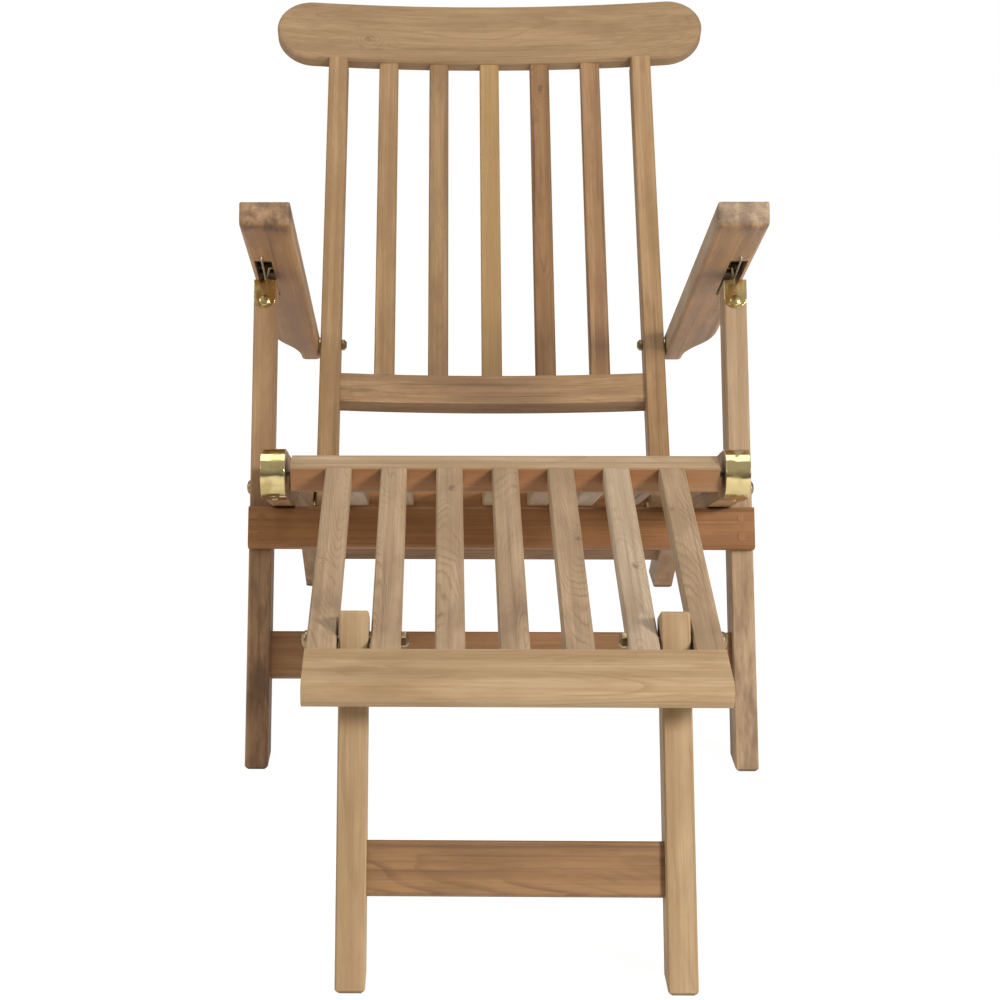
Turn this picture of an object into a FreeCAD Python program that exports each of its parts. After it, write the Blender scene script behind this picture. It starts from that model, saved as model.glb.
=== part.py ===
# Steamer deck chair: a folding lounge chair of teak with brass and steel fittings.
# Lengths are millimetres. X is the width, the foot end points to -Y, and Z is up.
# Side profiles are drawn in a working frame whose Y is 0 at the footrest hinge;
# the finished chair is moved so that its origin is the middle of its footprint.
import FreeCAD
import Part

import math
import os

from FreeCAD import Vector

# Widths across the chair
LEG_FRAME_WIDTH = 585.0
LEG_THICKNESS = 26.5
LEG_PLAY = 1.1
RAIL_THICKNESS = 26.5
BACK_WASHER = 2.9
STILE_THICKNESS = 28.0
ARM_WASHER = 2.5

# Side rails: seat part, bend and rear leg part
HINGE_HEIGHT = 353.5
RAIL_DEPTH = 50.0
SEAT_SLOPE = 18.1
REAR_LEG_SLOPE = 40.0
KNEE_FROM_HINGE = 674.0
KNEE_RADIUS = 420.0
FOOT_CHAMFER = 4.0

# Front leg frame
LEG_DEPTH = 46.0
LEG_LEAN = 26.1
LEG_PIVOT_FROM_HINGE = 200.5
LEG_TOP_ABOVE_PIVOT = 246.5
APRON_THICKNESS = 18.0
APRON_HEIGHT = 48.0
APRON_GAP = 0.3
APRON_EASE = 3.0
STRETCHER_HEIGHT = 53.0
STRETCHER_THICKNESS = 22.0
STRETCHER_BELOW_PIVOT = 200.0
STRETCHER_SETBACK = 8.0
PLUG_RADIUS = 5.0
PLUG_PROUD = 0.5
PLUG_INSET = 15.0
PLUG_SPACING = 22.0

# Back frame
BACK_SLOPE = 48.5
BACK_PIVOT_FROM_HINGE = 549.0
STILE_DEPTH = 38.0
STILE_TENON_TOP = 22.0
HEADREST_FROM_PIVOT = 736.0
HEADREST_HEIGHT = 106.0
HEADREST_THICKNESS = 22.0
HEADREST_FORWARD = 2.0
HEADREST_WIDTH = 626.0
HEADREST_EASE = 3.0
BACK_BOW_RADIUS = 2750.0
BACK_SLAT_COUNT = 5
BACK_SLAT_WIDTH = 28.0
BACK_SLAT_THICKNESS = 18.0
BACK_RAIL_FROM_PIVOT = 178.5
BACK_RAIL_HEIGHT = 44.0
BACK_RAIL_THICKNESS = 27.0

# Armrests
ARM_PIVOT_FROM_BACK_PIVOT = 252.5
ARM_SLOPE = 23.6
ARM_THICKNESS = 28.0
ARM_WIDTH = 56.5
ARM_REAR_WIDTH = 25.0
ARM_LENGTH_AHEAD = 628.0
ARM_LENGTH_BEHIND = 27.0
ARM_TAPER_START = 125.0
ARM_TAPER_LENGTH = 145.0
ARM_NOSE_CORNER_RADIUS = 5.0
ARM_NOSE_TOP_EASE = 3.0
ARM_NOSE_BOTTOM_RADIUS = 9.0
ARM_HEAD_GAP = 1.0
SLOT_WIDTH = 20.5
SLOT_BEHIND_PINS = 58.7
SLOT_AHEAD_OF_PINS = 5.0
SLOT_DEPTH = 21.0
CATCH_PIN_RADIUS = 3.0
CATCH_PIN_SPACING = 31.0
CATCH_PIN_COUNT = 4
CATCH_ENGAGED = 1
CATCH_GAP = 0.3
CLIP_WIRE = 2.2
CLIP_FROM_SLOT = 14.0
CLIP_HOLE_DEPTH = 9.0
CLIP_DROP = 3.2
CLIP_LENGTH = 72.0
CLIP_FALL = 3.6

# Catch bracket on each front leg
BRACKET_THICKNESS = 1.6
BRACKET_TONGUE = 33.5
BRACKET_SCREW_FROM_TIP = 9.5
HOOK_THICKNESS = 4.0
HOOK_HALF_WIDTH = 9.0
HOOK_TAPER = 0.8

# Seat
SEAT_SLAT_COUNT = 7
SEAT_SLAT_THICKNESS = 18.0
SEAT_SLAT_DROP = 2.0
SEAT_SLAT_START = 50.0
SEAT_SLAT_END = 583.0
CROSS_RAIL_WIDTH = 24.0
FRONT_RAIL_DEPTH = 20.0
REAR_RAIL_DEPTH = 40.0
REAR_STRETCHER_FROM_KNEE = 112.0
REAR_STRETCHER_HEIGHT = 34.0
REAR_STRETCHER_THICKNESS = 22.0

# Footrest
FOOTREST_SLOPE = 11.3
SLAT_COUNT = 7
SLAT_WIDTH = 28.3
SLAT_INSET = 38.25
SLAT_THICKNESS = 20.0
HINGE_RAIL_DEPTH = 34.0
HINGE_RAIL_HEIGHT = 29.0
HINGE_RAIL_GAP = 6.0
FRONT_BOARD_START = 420.0
FRONT_BOARD_LENGTH = 71.0
FRONT_BOARD_THICKNESS = 26.0
FRONT_BOARD_OVERHANG = 0.8
HINGE_PIN_RADIUS = 3.0
HINGE_PIN_IN_RAIL = 26.0
HINGE_PIN_END_WALL = 6.0
HINGE_PIN_END_GAP = 0.5

# Footrest legs
FLEG_PLAY = 2.0
FLEG_DEPTH = 36.0
FLEG_ABOVE_PIVOT = 25.0
FLEG_TOP_RADIUS = 5.0
FLEG_LEAN = 27.5
FLEG_PIVOT_FROM_HINGE = 384.0
FLEG_STRETCHER_BELOW = 213.0
FLEG_STRETCHER_HEIGHT = 50.0
FLEG_STRETCHER_THICKNESS = 22.0

# Brass strap round the front end of each side rail
STRAP_THICKNESS = 1.5
STRAP_LENGTH = 38.0
STRAP_GAP = 0.1
STRAP_SCREW_FROM_END = 12.0
STRAP_SCREW_RADIUS = 3.2
STRAP_SCREW_HEIGHT = 1.2

# Fasteners
BOLT_RADIUS = 4.0
BOLT_CLEARANCE = 0.08
PIN_FIT = 0.02
HEAD_RADIUS = 8.5
HEAD_HEIGHT = 5.5
HEAD_EASE = 2.2
HEAD_SIDES = 12
NUT_RADIUS = 7.6
NUT_HEIGHT = 7.5
NUT_EASE = 3.0
WASHER_RADIUS = 10.0
SCREW_RADIUS = 6.6
SCREW_HEIGHT = 2.6

# Joinery
TENON_LENGTH = 9.0
TENON_SHOULDER = 3.0
TENON_GAP = 0.1
OVERLAP = 1.0
EDGE_EASE = 1.6

# Places across the chair, worked out from the widths
LEG_OUTER = LEG_FRAME_WIDTH / 2
LEG_INNER = LEG_OUTER - LEG_THICKNESS
RAIL_OUTER = LEG_INNER - LEG_PLAY
RAIL_INNER = RAIL_OUTER - RAIL_THICKNESS
STILE_OUTER = RAIL_INNER - BACK_WASHER
STILE_INNER = STILE_OUTER - STILE_THICKNESS
ARM_INNER = STILE_OUTER + ARM_WASHER
ARM_OUTER = ARM_INNER + ARM_WIDTH
LEG_MIDDLE = (LEG_OUTER + LEG_INNER) / 2
HINGE_RAIL_END = RAIL_INNER - HINGE_RAIL_GAP
SLAT_PITCH = 2 * (HINGE_RAIL_END - SLAT_INSET - SLAT_WIDTH / 2) / (SLAT_COUNT - 1)
FLEG_THICKNESS = SLAT_PITCH - SLAT_WIDTH - 2 * FLEG_PLAY
FLEG_MIDDLE = SLAT_PITCH * (SLAT_COUNT - 2) / 2
FLEG_OUTER = FLEG_MIDDLE + FLEG_THICKNESS / 2
FLEG_INNER = FLEG_MIDDLE - FLEG_THICKNESS / 2


AXES = {"x": Vector(1, 0, 0), "y": Vector(0, 1, 0), "z": Vector(0, 0, 1)}


class Line:
    """A direction in the side view, with its origin, used to place points along and across it."""

    def __init__(self, y, z, degrees):
        self.y = y
        self.z = z
        self.cos = math.cos(math.radians(degrees))
        self.sin = math.sin(math.radians(degrees))
        self.degrees = degrees

    def at(self, along, across=0.0):
        """Point reached by going along the direction, then across it to its left."""
        y = self.y + along * self.cos - across * self.sin
        z = self.z + along * self.sin + across * self.cos
        return (y, z)

    def forward(self):
        """The direction itself."""
        return Vector(0, self.cos, self.sin)

    def placed(self, shape):
        """Turn a shape drawn along +Y with +Z across it onto this line."""
        turned = shape.copy()
        turned.rotate(Vector(0, 0, 0), Vector(1, 0, 0), self.degrees)
        turned.translate(Vector(0, self.y, self.z))
        return turned


# Rails run rearward and down from the hinge, the back and legs rearward and up
SEAT_LINE = Line(0.0, HINGE_HEIGHT, -SEAT_SLOPE)
KNEE = SEAT_LINE.at(KNEE_FROM_HINGE)
REAR_LEG_LINE = Line(KNEE[0], KNEE[1], -REAR_LEG_SLOPE)
LEG_PIVOT = SEAT_LINE.at(LEG_PIVOT_FROM_HINGE)
LEG_LINE = Line(LEG_PIVOT[0], LEG_PIVOT[1], 90.0 - LEG_LEAN)
BACK_PIVOT = SEAT_LINE.at(BACK_PIVOT_FROM_HINGE)
BACK_LINE = Line(BACK_PIVOT[0], BACK_PIVOT[1], BACK_SLOPE)
ARM_PIVOT = BACK_LINE.at(ARM_PIVOT_FROM_BACK_PIVOT)
ARM_LINE = Line(ARM_PIVOT[0], ARM_PIVOT[1], 180.0 - ARM_SLOPE)
FOOTREST_LINE = Line(0.0, HINGE_HEIGHT, 180.0 + FOOTREST_SLOPE)
FLEG_PIVOT_UP = HINGE_RAIL_HEIGHT / 2 - SLAT_THICKNESS / 2
FLEG_PIVOT = FOOTREST_LINE.at(FLEG_PIVOT_FROM_HINGE, -FLEG_PIVOT_UP)
FLEG_LINE = Line(FLEG_PIVOT[0], FLEG_PIVOT[1], 270.0 - FLEG_LEAN)


def box(x0, x1, y0, y1, z0, z1):
    """Block between two corners."""
    return Part.makeBox(x1 - x0, y1 - y0, z1 - z0, Vector(x0, y0, z0))


def rod_x(radius, x0, x1, place):
    """Round rod across the chair at a place in the side view."""
    return Part.makeCylinder(radius, x1 - x0, Vector(x0, place[0], place[1]), Vector(1, 0, 0))


def prism_x(edges, x0, x1):
    """Side profile made of edges in the plane X = 0, extruded across the chair."""
    face = Part.Face(Part.Wire(edges))
    solid = face.extrude(Vector(x1 - x0, 0, 0))
    solid.translate(Vector(x0, 0, 0))
    return solid


def polygon(points):
    """Closed loop of straight edges through side-view points."""
    corners = [Vector(0, y, z) for y, z in points]
    loop = zip(corners, corners[1:] + corners[:1])
    return [Part.makeLine(a, b) for a, b in loop]


def eased(solid, axis, ease=EDGE_EASE):
    """Break the long edges that run along a direction, as a plane does."""
    direction = AXES[axis] if isinstance(axis, str) else axis
    along = []
    for edge in solid.Edges:
        if isinstance(edge.Curve, Part.Line) and abs(edge.Curve.Direction.dot(direction)) > 0.999:
            along.append(edge)
    longest = max(edge.Length for edge in along)
    return solid.makeChamfer(ease, [edge for edge in along if edge.Length > 0.6 * longest])


def mirrored(solid):
    """The same piece on the other side of the chair."""
    return solid.mirror(Vector(0, 0, 0), Vector(1, 0, 0))


def both_sides(solid):
    """A piece and its mirror image, as a pair of separate solids."""
    return [mirrored(solid), solid]


def faceted(sides, radius, height, start, out, ease=0.0):
    """Flat-sided drum that stands on a surface, its crown eased: heads, nuts and plugs with few faces."""
    corners = []
    for index in range(sides):
        turn = 2 * math.pi * index / sides
        corners.append(Vector(radius * math.cos(turn), radius * math.sin(turn), 0))
    drum = Part.Face(Part.makePolygon(corners + corners[:1])).extrude(Vector(0, 0, height))
    if ease > 0.0:
        drum = drum.makeChamfer(ease, [edge for edge in drum.Edges if edge.BoundBox.ZMin > height / 2])
    return aimed(drum, start, out)


def aimed(shape, start, out):
    """Turn a shape drawn along +Z so that it stands on a point and looks along a direction."""
    turned = shape.copy()
    turn = FreeCAD.Rotation(Vector(0, 0, 1), out)
    turned.Placement = FreeCAD.Placement(start, turn)
    return turned


def tenoned_board(x0, x1, y0, y1, z0, z1, axis, tenon=TENON_LENGTH, ends=(True, True)):
    """Board with a stub tenon at its ends along an axis, shouldered all round."""
    board = eased(box(x0, x1, y0, y1, z0, z1), axis)
    return board.fuse(tenons(x0, x1, y0, y1, z0, z1, axis, tenon, ends)).removeSplitter()


def tenons(x0, x1, y0, y1, z0, z1, axis, length, ends, gap=0.0):
    """The stub tenons alone, grown by a gap when they are used to cut mortises."""
    low = [x0, y0, z0]
    high = [x1, y1, z1]
    index = "xyz".index(axis)
    shoulder = TENON_SHOULDER - gap
    for other in range(3):
        if other != index:
            low[other] += shoulder
            high[other] -= shoulder
    near = low[index]
    far = high[index]
    pieces = []
    if ends[0]:
        low[index] = near - length - gap
        high[index] = near + OVERLAP
        pieces.append(box(low[0], high[0], low[1], high[1], low[2], high[2]))
    if ends[1]:
        low[index] = far - OVERLAP
        high[index] = far + length + gap
        pieces.append(box(low[0], high[0], low[1], high[1], low[2], high[2]))
    return pieces


def rail_outline(half_depth, overrun):
    """Edges of a side rail: round nose at the hinge, seat part, bend and rear leg part."""
    turn = math.radians(REAR_LEG_SLOPE - SEAT_SLOPE)
    tangent = KNEE_RADIUS * math.tan(turn / 2)
    edges = []
    sides = []
    for across in (half_depth, -half_depth):
        start = SEAT_LINE.at(0.0, across)
        bend_in = SEAT_LINE.at(KNEE_FROM_HINGE - tangent, across)
        bend_out = REAR_LEG_LINE.at(tangent, across)
        centre = SEAT_LINE.at(KNEE_FROM_HINGE - tangent, -KNEE_RADIUS)
        middle_slope = math.radians(90.0 - (SEAT_SLOPE + REAR_LEG_SLOPE) / 2)
        reach = KNEE_RADIUS + across
        middle = (centre[0] + reach * math.cos(middle_slope), centre[1] + reach * math.sin(middle_slope))
        end = REAR_LEG_LINE.at(overrun, across)
        points = [Vector(0, y, z) for y, z in (start, bend_in, middle, bend_out, end)]
        edges.append(Part.makeLine(points[0], points[1]))
        edges.append(Part.Arc(points[1], points[2], points[3]).toShape())
        edges.append(Part.makeLine(points[3], points[4]))
        sides.append((points[0], points[4]))
    nose = Vector(0, *SEAT_LINE.at(-half_depth))
    edges.append(Part.Arc(sides[0][0], nose, sides[1][0]).toShape())
    edges.append(Part.makeLine(sides[0][1], sides[1][1]))
    return Part.__sortEdges__(edges)


def ground(reach):
    """Large block below the floor, used to cut feet level."""
    return box(-reach, reach, -reach, reach, -reach, 0.0)


def foot_cut(solid, radius=FOOT_CHAMFER):
    """Cut a leg level at the floor and ease the edges of its foot."""
    reach = 4 * LEG_FRAME_WIDTH
    cut = solid.cut(ground(reach))
    rim = []
    for edge in cut.Edges:
        if edge.BoundBox.ZMax < 0.01:
            rim.append(edge)
    return cut.makeChamfer(radius, rim)


def leg_hole(place, x0, x1):
    """Hole for a pivot bolt, with its running clearance."""
    return rod_x(BOLT_RADIUS + BOLT_CLEARANCE, x0 - OVERLAP, x1 + OVERLAP, place)


def side_rail():
    """Right side rail, with its nose for the hinge strap and holes for three pivots."""
    rail = prism_x(rail_outline(RAIL_DEPTH / 2, 2 * KNEE_RADIUS), RAIL_INNER, RAIL_OUTER)
    rail = foot_cut(rail)
    rail = rail.cut([
        leg_hole(LEG_PIVOT, RAIL_INNER, RAIL_OUTER),
        leg_hole(BACK_PIVOT, RAIL_INNER, RAIL_OUTER),
        rod_x(HINGE_PIN_RADIUS + BOLT_CLEARANCE, RAIL_INNER - OVERLAP, RAIL_OUTER - HINGE_PIN_END_WALL,
              SEAT_LINE.at(0.0)),
    ])
    mortises = seat_rail_tenons(front_seat_rail_block(), TENON_GAP)
    mortises += seat_rail_tenons(rear_seat_rail_block(), TENON_GAP)
    mortises += rear_stretcher_tenons(TENON_GAP)
    return rail.cut(mortises)


def hinge_strap():
    """Brass strap wrapped round the nose of the right side rail."""
    inner = RAIL_DEPTH / 2 + STRAP_GAP
    outer = inner + STRAP_THICKNESS
    skin = prism_x(rail_outline(outer, KNEE_RADIUS), RAIL_INNER, RAIL_OUTER)
    core = prism_x(rail_outline(inner, 2 * KNEE_RADIUS), RAIL_INNER - OVERLAP, RAIL_OUTER + OVERLAP)
    keep = box(RAIL_INNER - OVERLAP, RAIL_OUTER + OVERLAP, -2 * outer, STRAP_LENGTH, -2 * outer, 2 * outer)
    return skin.cut(core).common(SEAT_LINE.placed(keep))


def strap_screw_place(side):
    """Middle of a strap screw on the top (1) or underside (-1) of the strap."""
    reach = side * (RAIL_DEPTH / 2 + STRAP_GAP + STRAP_THICKNESS)
    y, z = SEAT_LINE.at(STRAP_LENGTH - STRAP_SCREW_FROM_END, reach)
    return Vector((RAIL_INNER + RAIL_OUTER) / 2, y, z)


def strap_normal(side):
    """Direction out of the strap's top or underside."""
    return Vector(0, -SEAT_LINE.sin * side, SEAT_LINE.cos * side)


def strap_screws():
    """Four small screws that hold the straps; only their heads are drawn."""
    screws = []
    for side in (1, -1):
        head = faceted(HEAD_SIDES, STRAP_SCREW_RADIUS, STRAP_SCREW_HEIGHT, strap_screw_place(side), strap_normal(side),
                       STRAP_SCREW_HEIGHT / 2)
        screws += both_sides(head)
    return screws


def seat_rail_block(start, top, depth):
    """Corners of a seat cross rail, drawn along the seat line."""
    return (-RAIL_INNER, RAIL_INNER, start, start + CROSS_RAIL_WIDTH, top - depth, top)


def front_seat_rail_block():
    """Corners of the cross rail under the front ends of the seat slats."""
    top = RAIL_DEPTH / 2 - SEAT_SLAT_DROP - SEAT_SLAT_THICKNESS
    return seat_rail_block(SEAT_SLAT_START, top, FRONT_RAIL_DEPTH)


def rear_seat_rail_block():
    """Corners of the cross rail that the seat slats run into, behind the back's pivots."""
    return seat_rail_block(SEAT_SLAT_END, RAIL_DEPTH / 2, REAR_RAIL_DEPTH)


def seat_rail_tenons(block, gap=0.0):
    """Tenons of a seat cross rail, in place."""
    return [SEAT_LINE.placed(piece) for piece in tenons(*block, "x", TENON_LENGTH, (True, True), gap)]


def seat_cross_rail_front():
    """Cross rail that carries the front ends of the seat slats."""
    return SEAT_LINE.placed(tenoned_board(*front_seat_rail_block(), "x"))


def seat_cross_rail_rear():
    """Cross rail behind the back's pivots, mortised for the seat slats."""
    rail = SEAT_LINE.placed(tenoned_board(*rear_seat_rail_block(), "x"))
    return rail.cut([piece for index in range(SEAT_SLAT_COUNT) for piece in seat_slat_tenon(index, TENON_GAP)])


def rear_stretcher_block():
    """Corners of the rear stretcher, drawn along the rear leg line."""
    y0 = REAR_STRETCHER_FROM_KNEE - REAR_STRETCHER_HEIGHT / 2
    half = REAR_STRETCHER_THICKNESS / 2
    return (-RAIL_INNER, RAIL_INNER, y0, y0 + REAR_STRETCHER_HEIGHT, -half, half)


def rear_stretcher_tenons(gap=0.0):
    """Tenons of the rear stretcher, in place."""
    pieces = tenons(*rear_stretcher_block(), "x", TENON_LENGTH, (True, True), gap)
    return [REAR_LEG_LINE.placed(piece) for piece in pieces]


def rear_stretcher():
    """Stretcher between the rear leg parts of the side rails."""
    return REAR_LEG_LINE.placed(tenoned_board(*rear_stretcher_block(), "x"))


def seat_slat_corners(index):
    """Corners of a seat slat, its top level with the side rails, drawn along the seat line."""
    x = SLAT_PITCH * (index - (SEAT_SLAT_COUNT - 1) / 2)
    top = RAIL_DEPTH / 2 - SEAT_SLAT_DROP
    return (x - SLAT_WIDTH / 2, x + SLAT_WIDTH / 2, SEAT_SLAT_START, SEAT_SLAT_END,
            top - SEAT_SLAT_THICKNESS, top)


def seat_slat_tenon(index, gap=0.0):
    """Tenon at the rear end of a seat slat, in place."""
    pieces = tenons(*seat_slat_corners(index), "y", TENON_LENGTH, (False, True), gap)
    return [SEAT_LINE.placed(piece) for piece in pieces]


def seat_slat(index):
    """Seat slat from the front cross rail to the rear one."""
    return SEAT_LINE.placed(tenoned_board(*seat_slat_corners(index), "y", TENON_LENGTH, (False, True)))


def front_leg():
    """Right front leg: leans back from the floor to the armrest."""
    half = LEG_DEPTH / 2
    post = box(LEG_INNER, LEG_OUTER, -2 * HINGE_HEIGHT, LEG_TOP_ABOVE_PIVOT, -half, half)
    post = eased(foot_cut(LEG_LINE.placed(post), FOOT_CHAMFER), LEG_LINE.forward())
    mortises = stretcher_tenons(TENON_GAP)
    return post.cut([leg_hole(LEG_PIVOT, LEG_INNER, LEG_OUTER)] + mortises)


def stretcher_block():
    """Corners of the leg stretcher, drawn along the leg line."""
    y0 = -STRETCHER_BELOW_PIVOT - STRETCHER_HEIGHT / 2
    front = LEG_DEPTH / 2 - STRETCHER_SETBACK
    return (-LEG_INNER, LEG_INNER, y0, y0 + STRETCHER_HEIGHT, front - STRETCHER_THICKNESS, front)


def stretcher_tenons(gap=0.0):
    """Tenons of the leg stretcher, in place."""
    pieces = tenons(*stretcher_block(), "x", TENON_LENGTH, (True, True), gap)
    return [LEG_LINE.placed(piece) for piece in pieces]


def leg_stretcher():
    """Stretcher between the front legs."""
    return LEG_LINE.placed(tenoned_board(*stretcher_block(), "x"))


def front_apron():
    """Board across the front of the legs; the side rails rest on its bevelled top."""
    front = LEG_DEPTH / 2
    top_reach = RAIL_DEPTH
    board = box(-LEG_OUTER, LEG_OUTER, -APRON_HEIGHT - top_reach, top_reach, front, front + APRON_THICKNESS)
    board = LEG_LINE.placed(board)
    above = box(-LEG_FRAME_WIDTH, LEG_FRAME_WIDTH, -RAIL_DEPTH * 8, RAIL_DEPTH * 8,
                -RAIL_DEPTH / 2 - APRON_GAP, RAIL_DEPTH * 4)
    bevel = Line(*SEAT_LINE.at(0.0), -SEAT_SLOPE)
    board = board.cut(bevel.placed(above))
    bottom = apron_bottom()
    below = box(-LEG_FRAME_WIDTH, LEG_FRAME_WIDTH, bottom - 4 * RAIL_DEPTH, bottom, -RAIL_DEPTH * 4, RAIL_DEPTH * 4)
    board = board.cut(LEG_LINE.placed(below))
    return eased(board, "x", APRON_EASE)


def apron_top():
    """Height of the apron's front top edge along the leg line, where the rails' underside meets it."""
    slope = math.radians(90.0 - LEG_LEAN + SEAT_SLOPE)
    front = LEG_DEPTH / 2 + APRON_THICKNESS
    return (-front * math.cos(slope) - RAIL_DEPTH / 2 - APRON_GAP) / math.sin(slope)


def apron_bottom():
    """Lower edge of the apron along the leg line."""
    return apron_top() - APRON_HEIGHT


def plug_places():
    """Middles of the four wooden plugs over the apron's screws."""
    middle = (apron_top() + apron_bottom()) / 2
    places = []
    for x in (-1, 1):
        for up in (-0.5, 0.5):
            y, z = LEG_LINE.at(middle + up * PLUG_SPACING, LEG_DEPTH / 2 + APRON_THICKNESS)
            places.append(Vector(x * (LEG_OUTER - PLUG_INSET), y, z))
    return places


def plug_solid(place):
    """Round wooden plug over a screw, standing slightly proud of the apron's face."""
    out = Vector(0, -LEG_LINE.sin, LEG_LINE.cos)
    return faceted(HEAD_SIDES, PLUG_RADIUS, PLUG_PROUD, place, out)


def apron_plugs():
    """The four plugs."""
    return [plug_solid(place) for place in plug_places()]


def bow(x):
    """How far a place across the back lies behind the stiles, because the back is hollowed."""
    stile = (STILE_OUTER + STILE_INNER) / 2
    return (stile * stile - x * x) / (2 * BACK_BOW_RADIUS)


def stile_tenon(x, front, thickness, top, gap=0.0):
    """Tenon at the top of a stile or back slat, drawn along the back line."""
    half = BACK_SLAT_WIDTH / 2 - TENON_SHOULDER + gap
    low = front - thickness + TENON_SHOULDER - gap
    return box(x - half, x + half, top - OVERLAP, top + STILE_TENON_TOP + gap, low, front - TENON_SHOULDER + gap)


def slat_front(x):
    """Front face of a back slat at a place across the back."""
    return BACK_SLAT_THICKNESS / 2 - bow(x)


def slat_places():
    """Middles of the back slats across the back."""
    stile = (STILE_OUTER + STILE_INNER) / 2
    step = 2 * stile / (BACK_SLAT_COUNT + 1)
    return [step * (index + 1) - stile for index in range(BACK_SLAT_COUNT)]


def back_stile():
    """Right back stile, rounded at its pivot and tenoned into the headrest."""
    half = STILE_DEPTH / 2
    x = (STILE_OUTER + STILE_INNER) / 2
    top = HEADREST_FROM_PIVOT
    start = Vector(0, 0, -half)
    low_end = Vector(0, -half, 0)
    finish = Vector(0, 0, half)
    edges = [
        Part.Arc(start, low_end, finish).toShape(),
        Part.makeLine(finish, Vector(0, top, half)),
        Part.makeLine(Vector(0, top, half), Vector(0, top, -half)),
        Part.makeLine(Vector(0, top, -half), start),
    ]
    stile = eased(prism_x(edges, STILE_INNER, STILE_OUTER), "y")
    stile = stile.fuse(stile_tenon(x, BACK_SLAT_THICKNESS / 2, BACK_SLAT_THICKNESS, top))
    stile = BACK_LINE.placed(stile)
    cuts = [leg_hole(BACK_PIVOT, STILE_INNER, STILE_OUTER), leg_hole(ARM_PIVOT, STILE_INNER, STILE_OUTER)]
    cuts += [BACK_LINE.placed(piece) for piece in back_rail_tenons(TENON_GAP)]
    return stile.cut(cuts)


def back_slat(x):
    """One back slat between the lower rail and the headrest."""
    half = BACK_SLAT_WIDTH / 2
    front = slat_front(x)
    low = BACK_RAIL_FROM_PIVOT + BACK_RAIL_HEIGHT / 2
    slat = eased(box(x - half, x + half, low, HEADREST_FROM_PIVOT, front - BACK_SLAT_THICKNESS, front), "y")
    tenon_pair = [stile_tenon(x, front, BACK_SLAT_THICKNESS, HEADREST_FROM_PIVOT), lower_tenon(x)]
    return BACK_LINE.placed(slat.fuse(tenon_pair).removeSplitter())


def lower_tenon(x, gap=0.0):
    """Tenon at the foot of a back slat, drawn along the back line."""
    half = BACK_SLAT_WIDTH / 2 - TENON_SHOULDER + gap
    front = slat_front(x) - TENON_SHOULDER + gap
    low = slat_front(x) - BACK_SLAT_THICKNESS + TENON_SHOULDER - gap
    top = BACK_RAIL_FROM_PIVOT + BACK_RAIL_HEIGHT / 2
    return box(x - half, x + half, top - TENON_LENGTH - gap, top + OVERLAP, low, front)


def bowed_board(half_width, thickness, middle, y0, y1):
    """Board hollowed to the back's bow: two concentric arcs in plan, raised along the back line."""
    edges = []
    ends = []
    for side in (1, -1):
        across = [middle + side * thickness / 2 - bow(x) for x in (-half_width, 0.0, half_width)]
        points = [Vector(x, y0, z) for x, z in zip((-half_width, 0.0, half_width), across)]
        edges.append(Part.Arc(*points).toShape())
        ends.append((points[0], points[2]))
    edges.append(Part.makeLine(ends[0][0], ends[1][0]))
    edges.append(Part.makeLine(ends[0][1], ends[1][1]))
    face = Part.Face(Part.Wire(Part.__sortEdges__(edges)))
    return face.extrude(Vector(0, y1 - y0, 0))


def back_rail_tenons(gap=0.0):
    """Tenons of the lower back rail into the stiles, drawn along the back line."""
    y0 = BACK_RAIL_FROM_PIVOT - BACK_RAIL_HEIGHT / 2
    half = BACK_RAIL_THICKNESS / 2
    return tenons(-STILE_INNER, STILE_INNER, y0, y0 + BACK_RAIL_HEIGHT, -half, half,
                  "x", TENON_LENGTH, (True, True), gap)


def back_lower_rail():
    """Lower back rail, hollowed like the headrest, with mortises for the slats."""
    y0 = BACK_RAIL_FROM_PIVOT - BACK_RAIL_HEIGHT / 2
    rail = bowed_board(STILE_INNER, BACK_RAIL_THICKNESS, 0.0, y0, y0 + BACK_RAIL_HEIGHT)
    rail = rail.fuse(back_rail_tenons()).removeSplitter()
    rail = rail.cut([lower_tenon(x, TENON_GAP) for x in slat_places()])
    return BACK_LINE.placed(rail)


def headrest():
    """Headrest: hollowed board with round ends and mortises for the stiles and slats."""
    half = HEADREST_WIDTH / 2
    radius = HEADREST_HEIGHT / 2
    low = HEADREST_FROM_PIVOT
    board = bowed_board(half, HEADREST_THICKNESS, HEADREST_FORWARD, low, low + HEADREST_HEIGHT)
    reach = 4 * HEADREST_THICKNESS
    middle = box(radius - half, half - radius, low, low + HEADREST_HEIGHT, -reach, reach)
    ends = []
    for side in (-1, 1):
        base = Vector(side * (half - radius), low + radius, -reach)
        ends.append(Part.makeCylinder(radius, 2 * reach, base, Vector(0, 0, 1)))
    board = board.common(middle.fuse(ends).removeSplitter())
    rim = [edge for edge in board.Edges if is_face_rim(edge)]
    board = board.makeChamfer(HEADREST_EASE, rim)
    stile = (STILE_OUTER + STILE_INNER) / 2
    holes = [stile_tenon(x, slat_front(x), BACK_SLAT_THICKNESS, low, TENON_GAP) for x in slat_places()]
    holes += [stile_tenon(x, BACK_SLAT_THICKNESS / 2, BACK_SLAT_THICKNESS, low, TENON_GAP)
              for x in (-stile, stile)]
    return BACK_LINE.placed(board.cut(holes))


def is_face_rim(edge):
    """True for an edge that runs along the board's front or rear face."""
    low = edge.valueAt(edge.FirstParameter)
    high = edge.valueAt(edge.LastParameter)
    return abs(low.x - high.x) + abs(low.y - high.y) > HEADREST_THICKNESS


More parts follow.
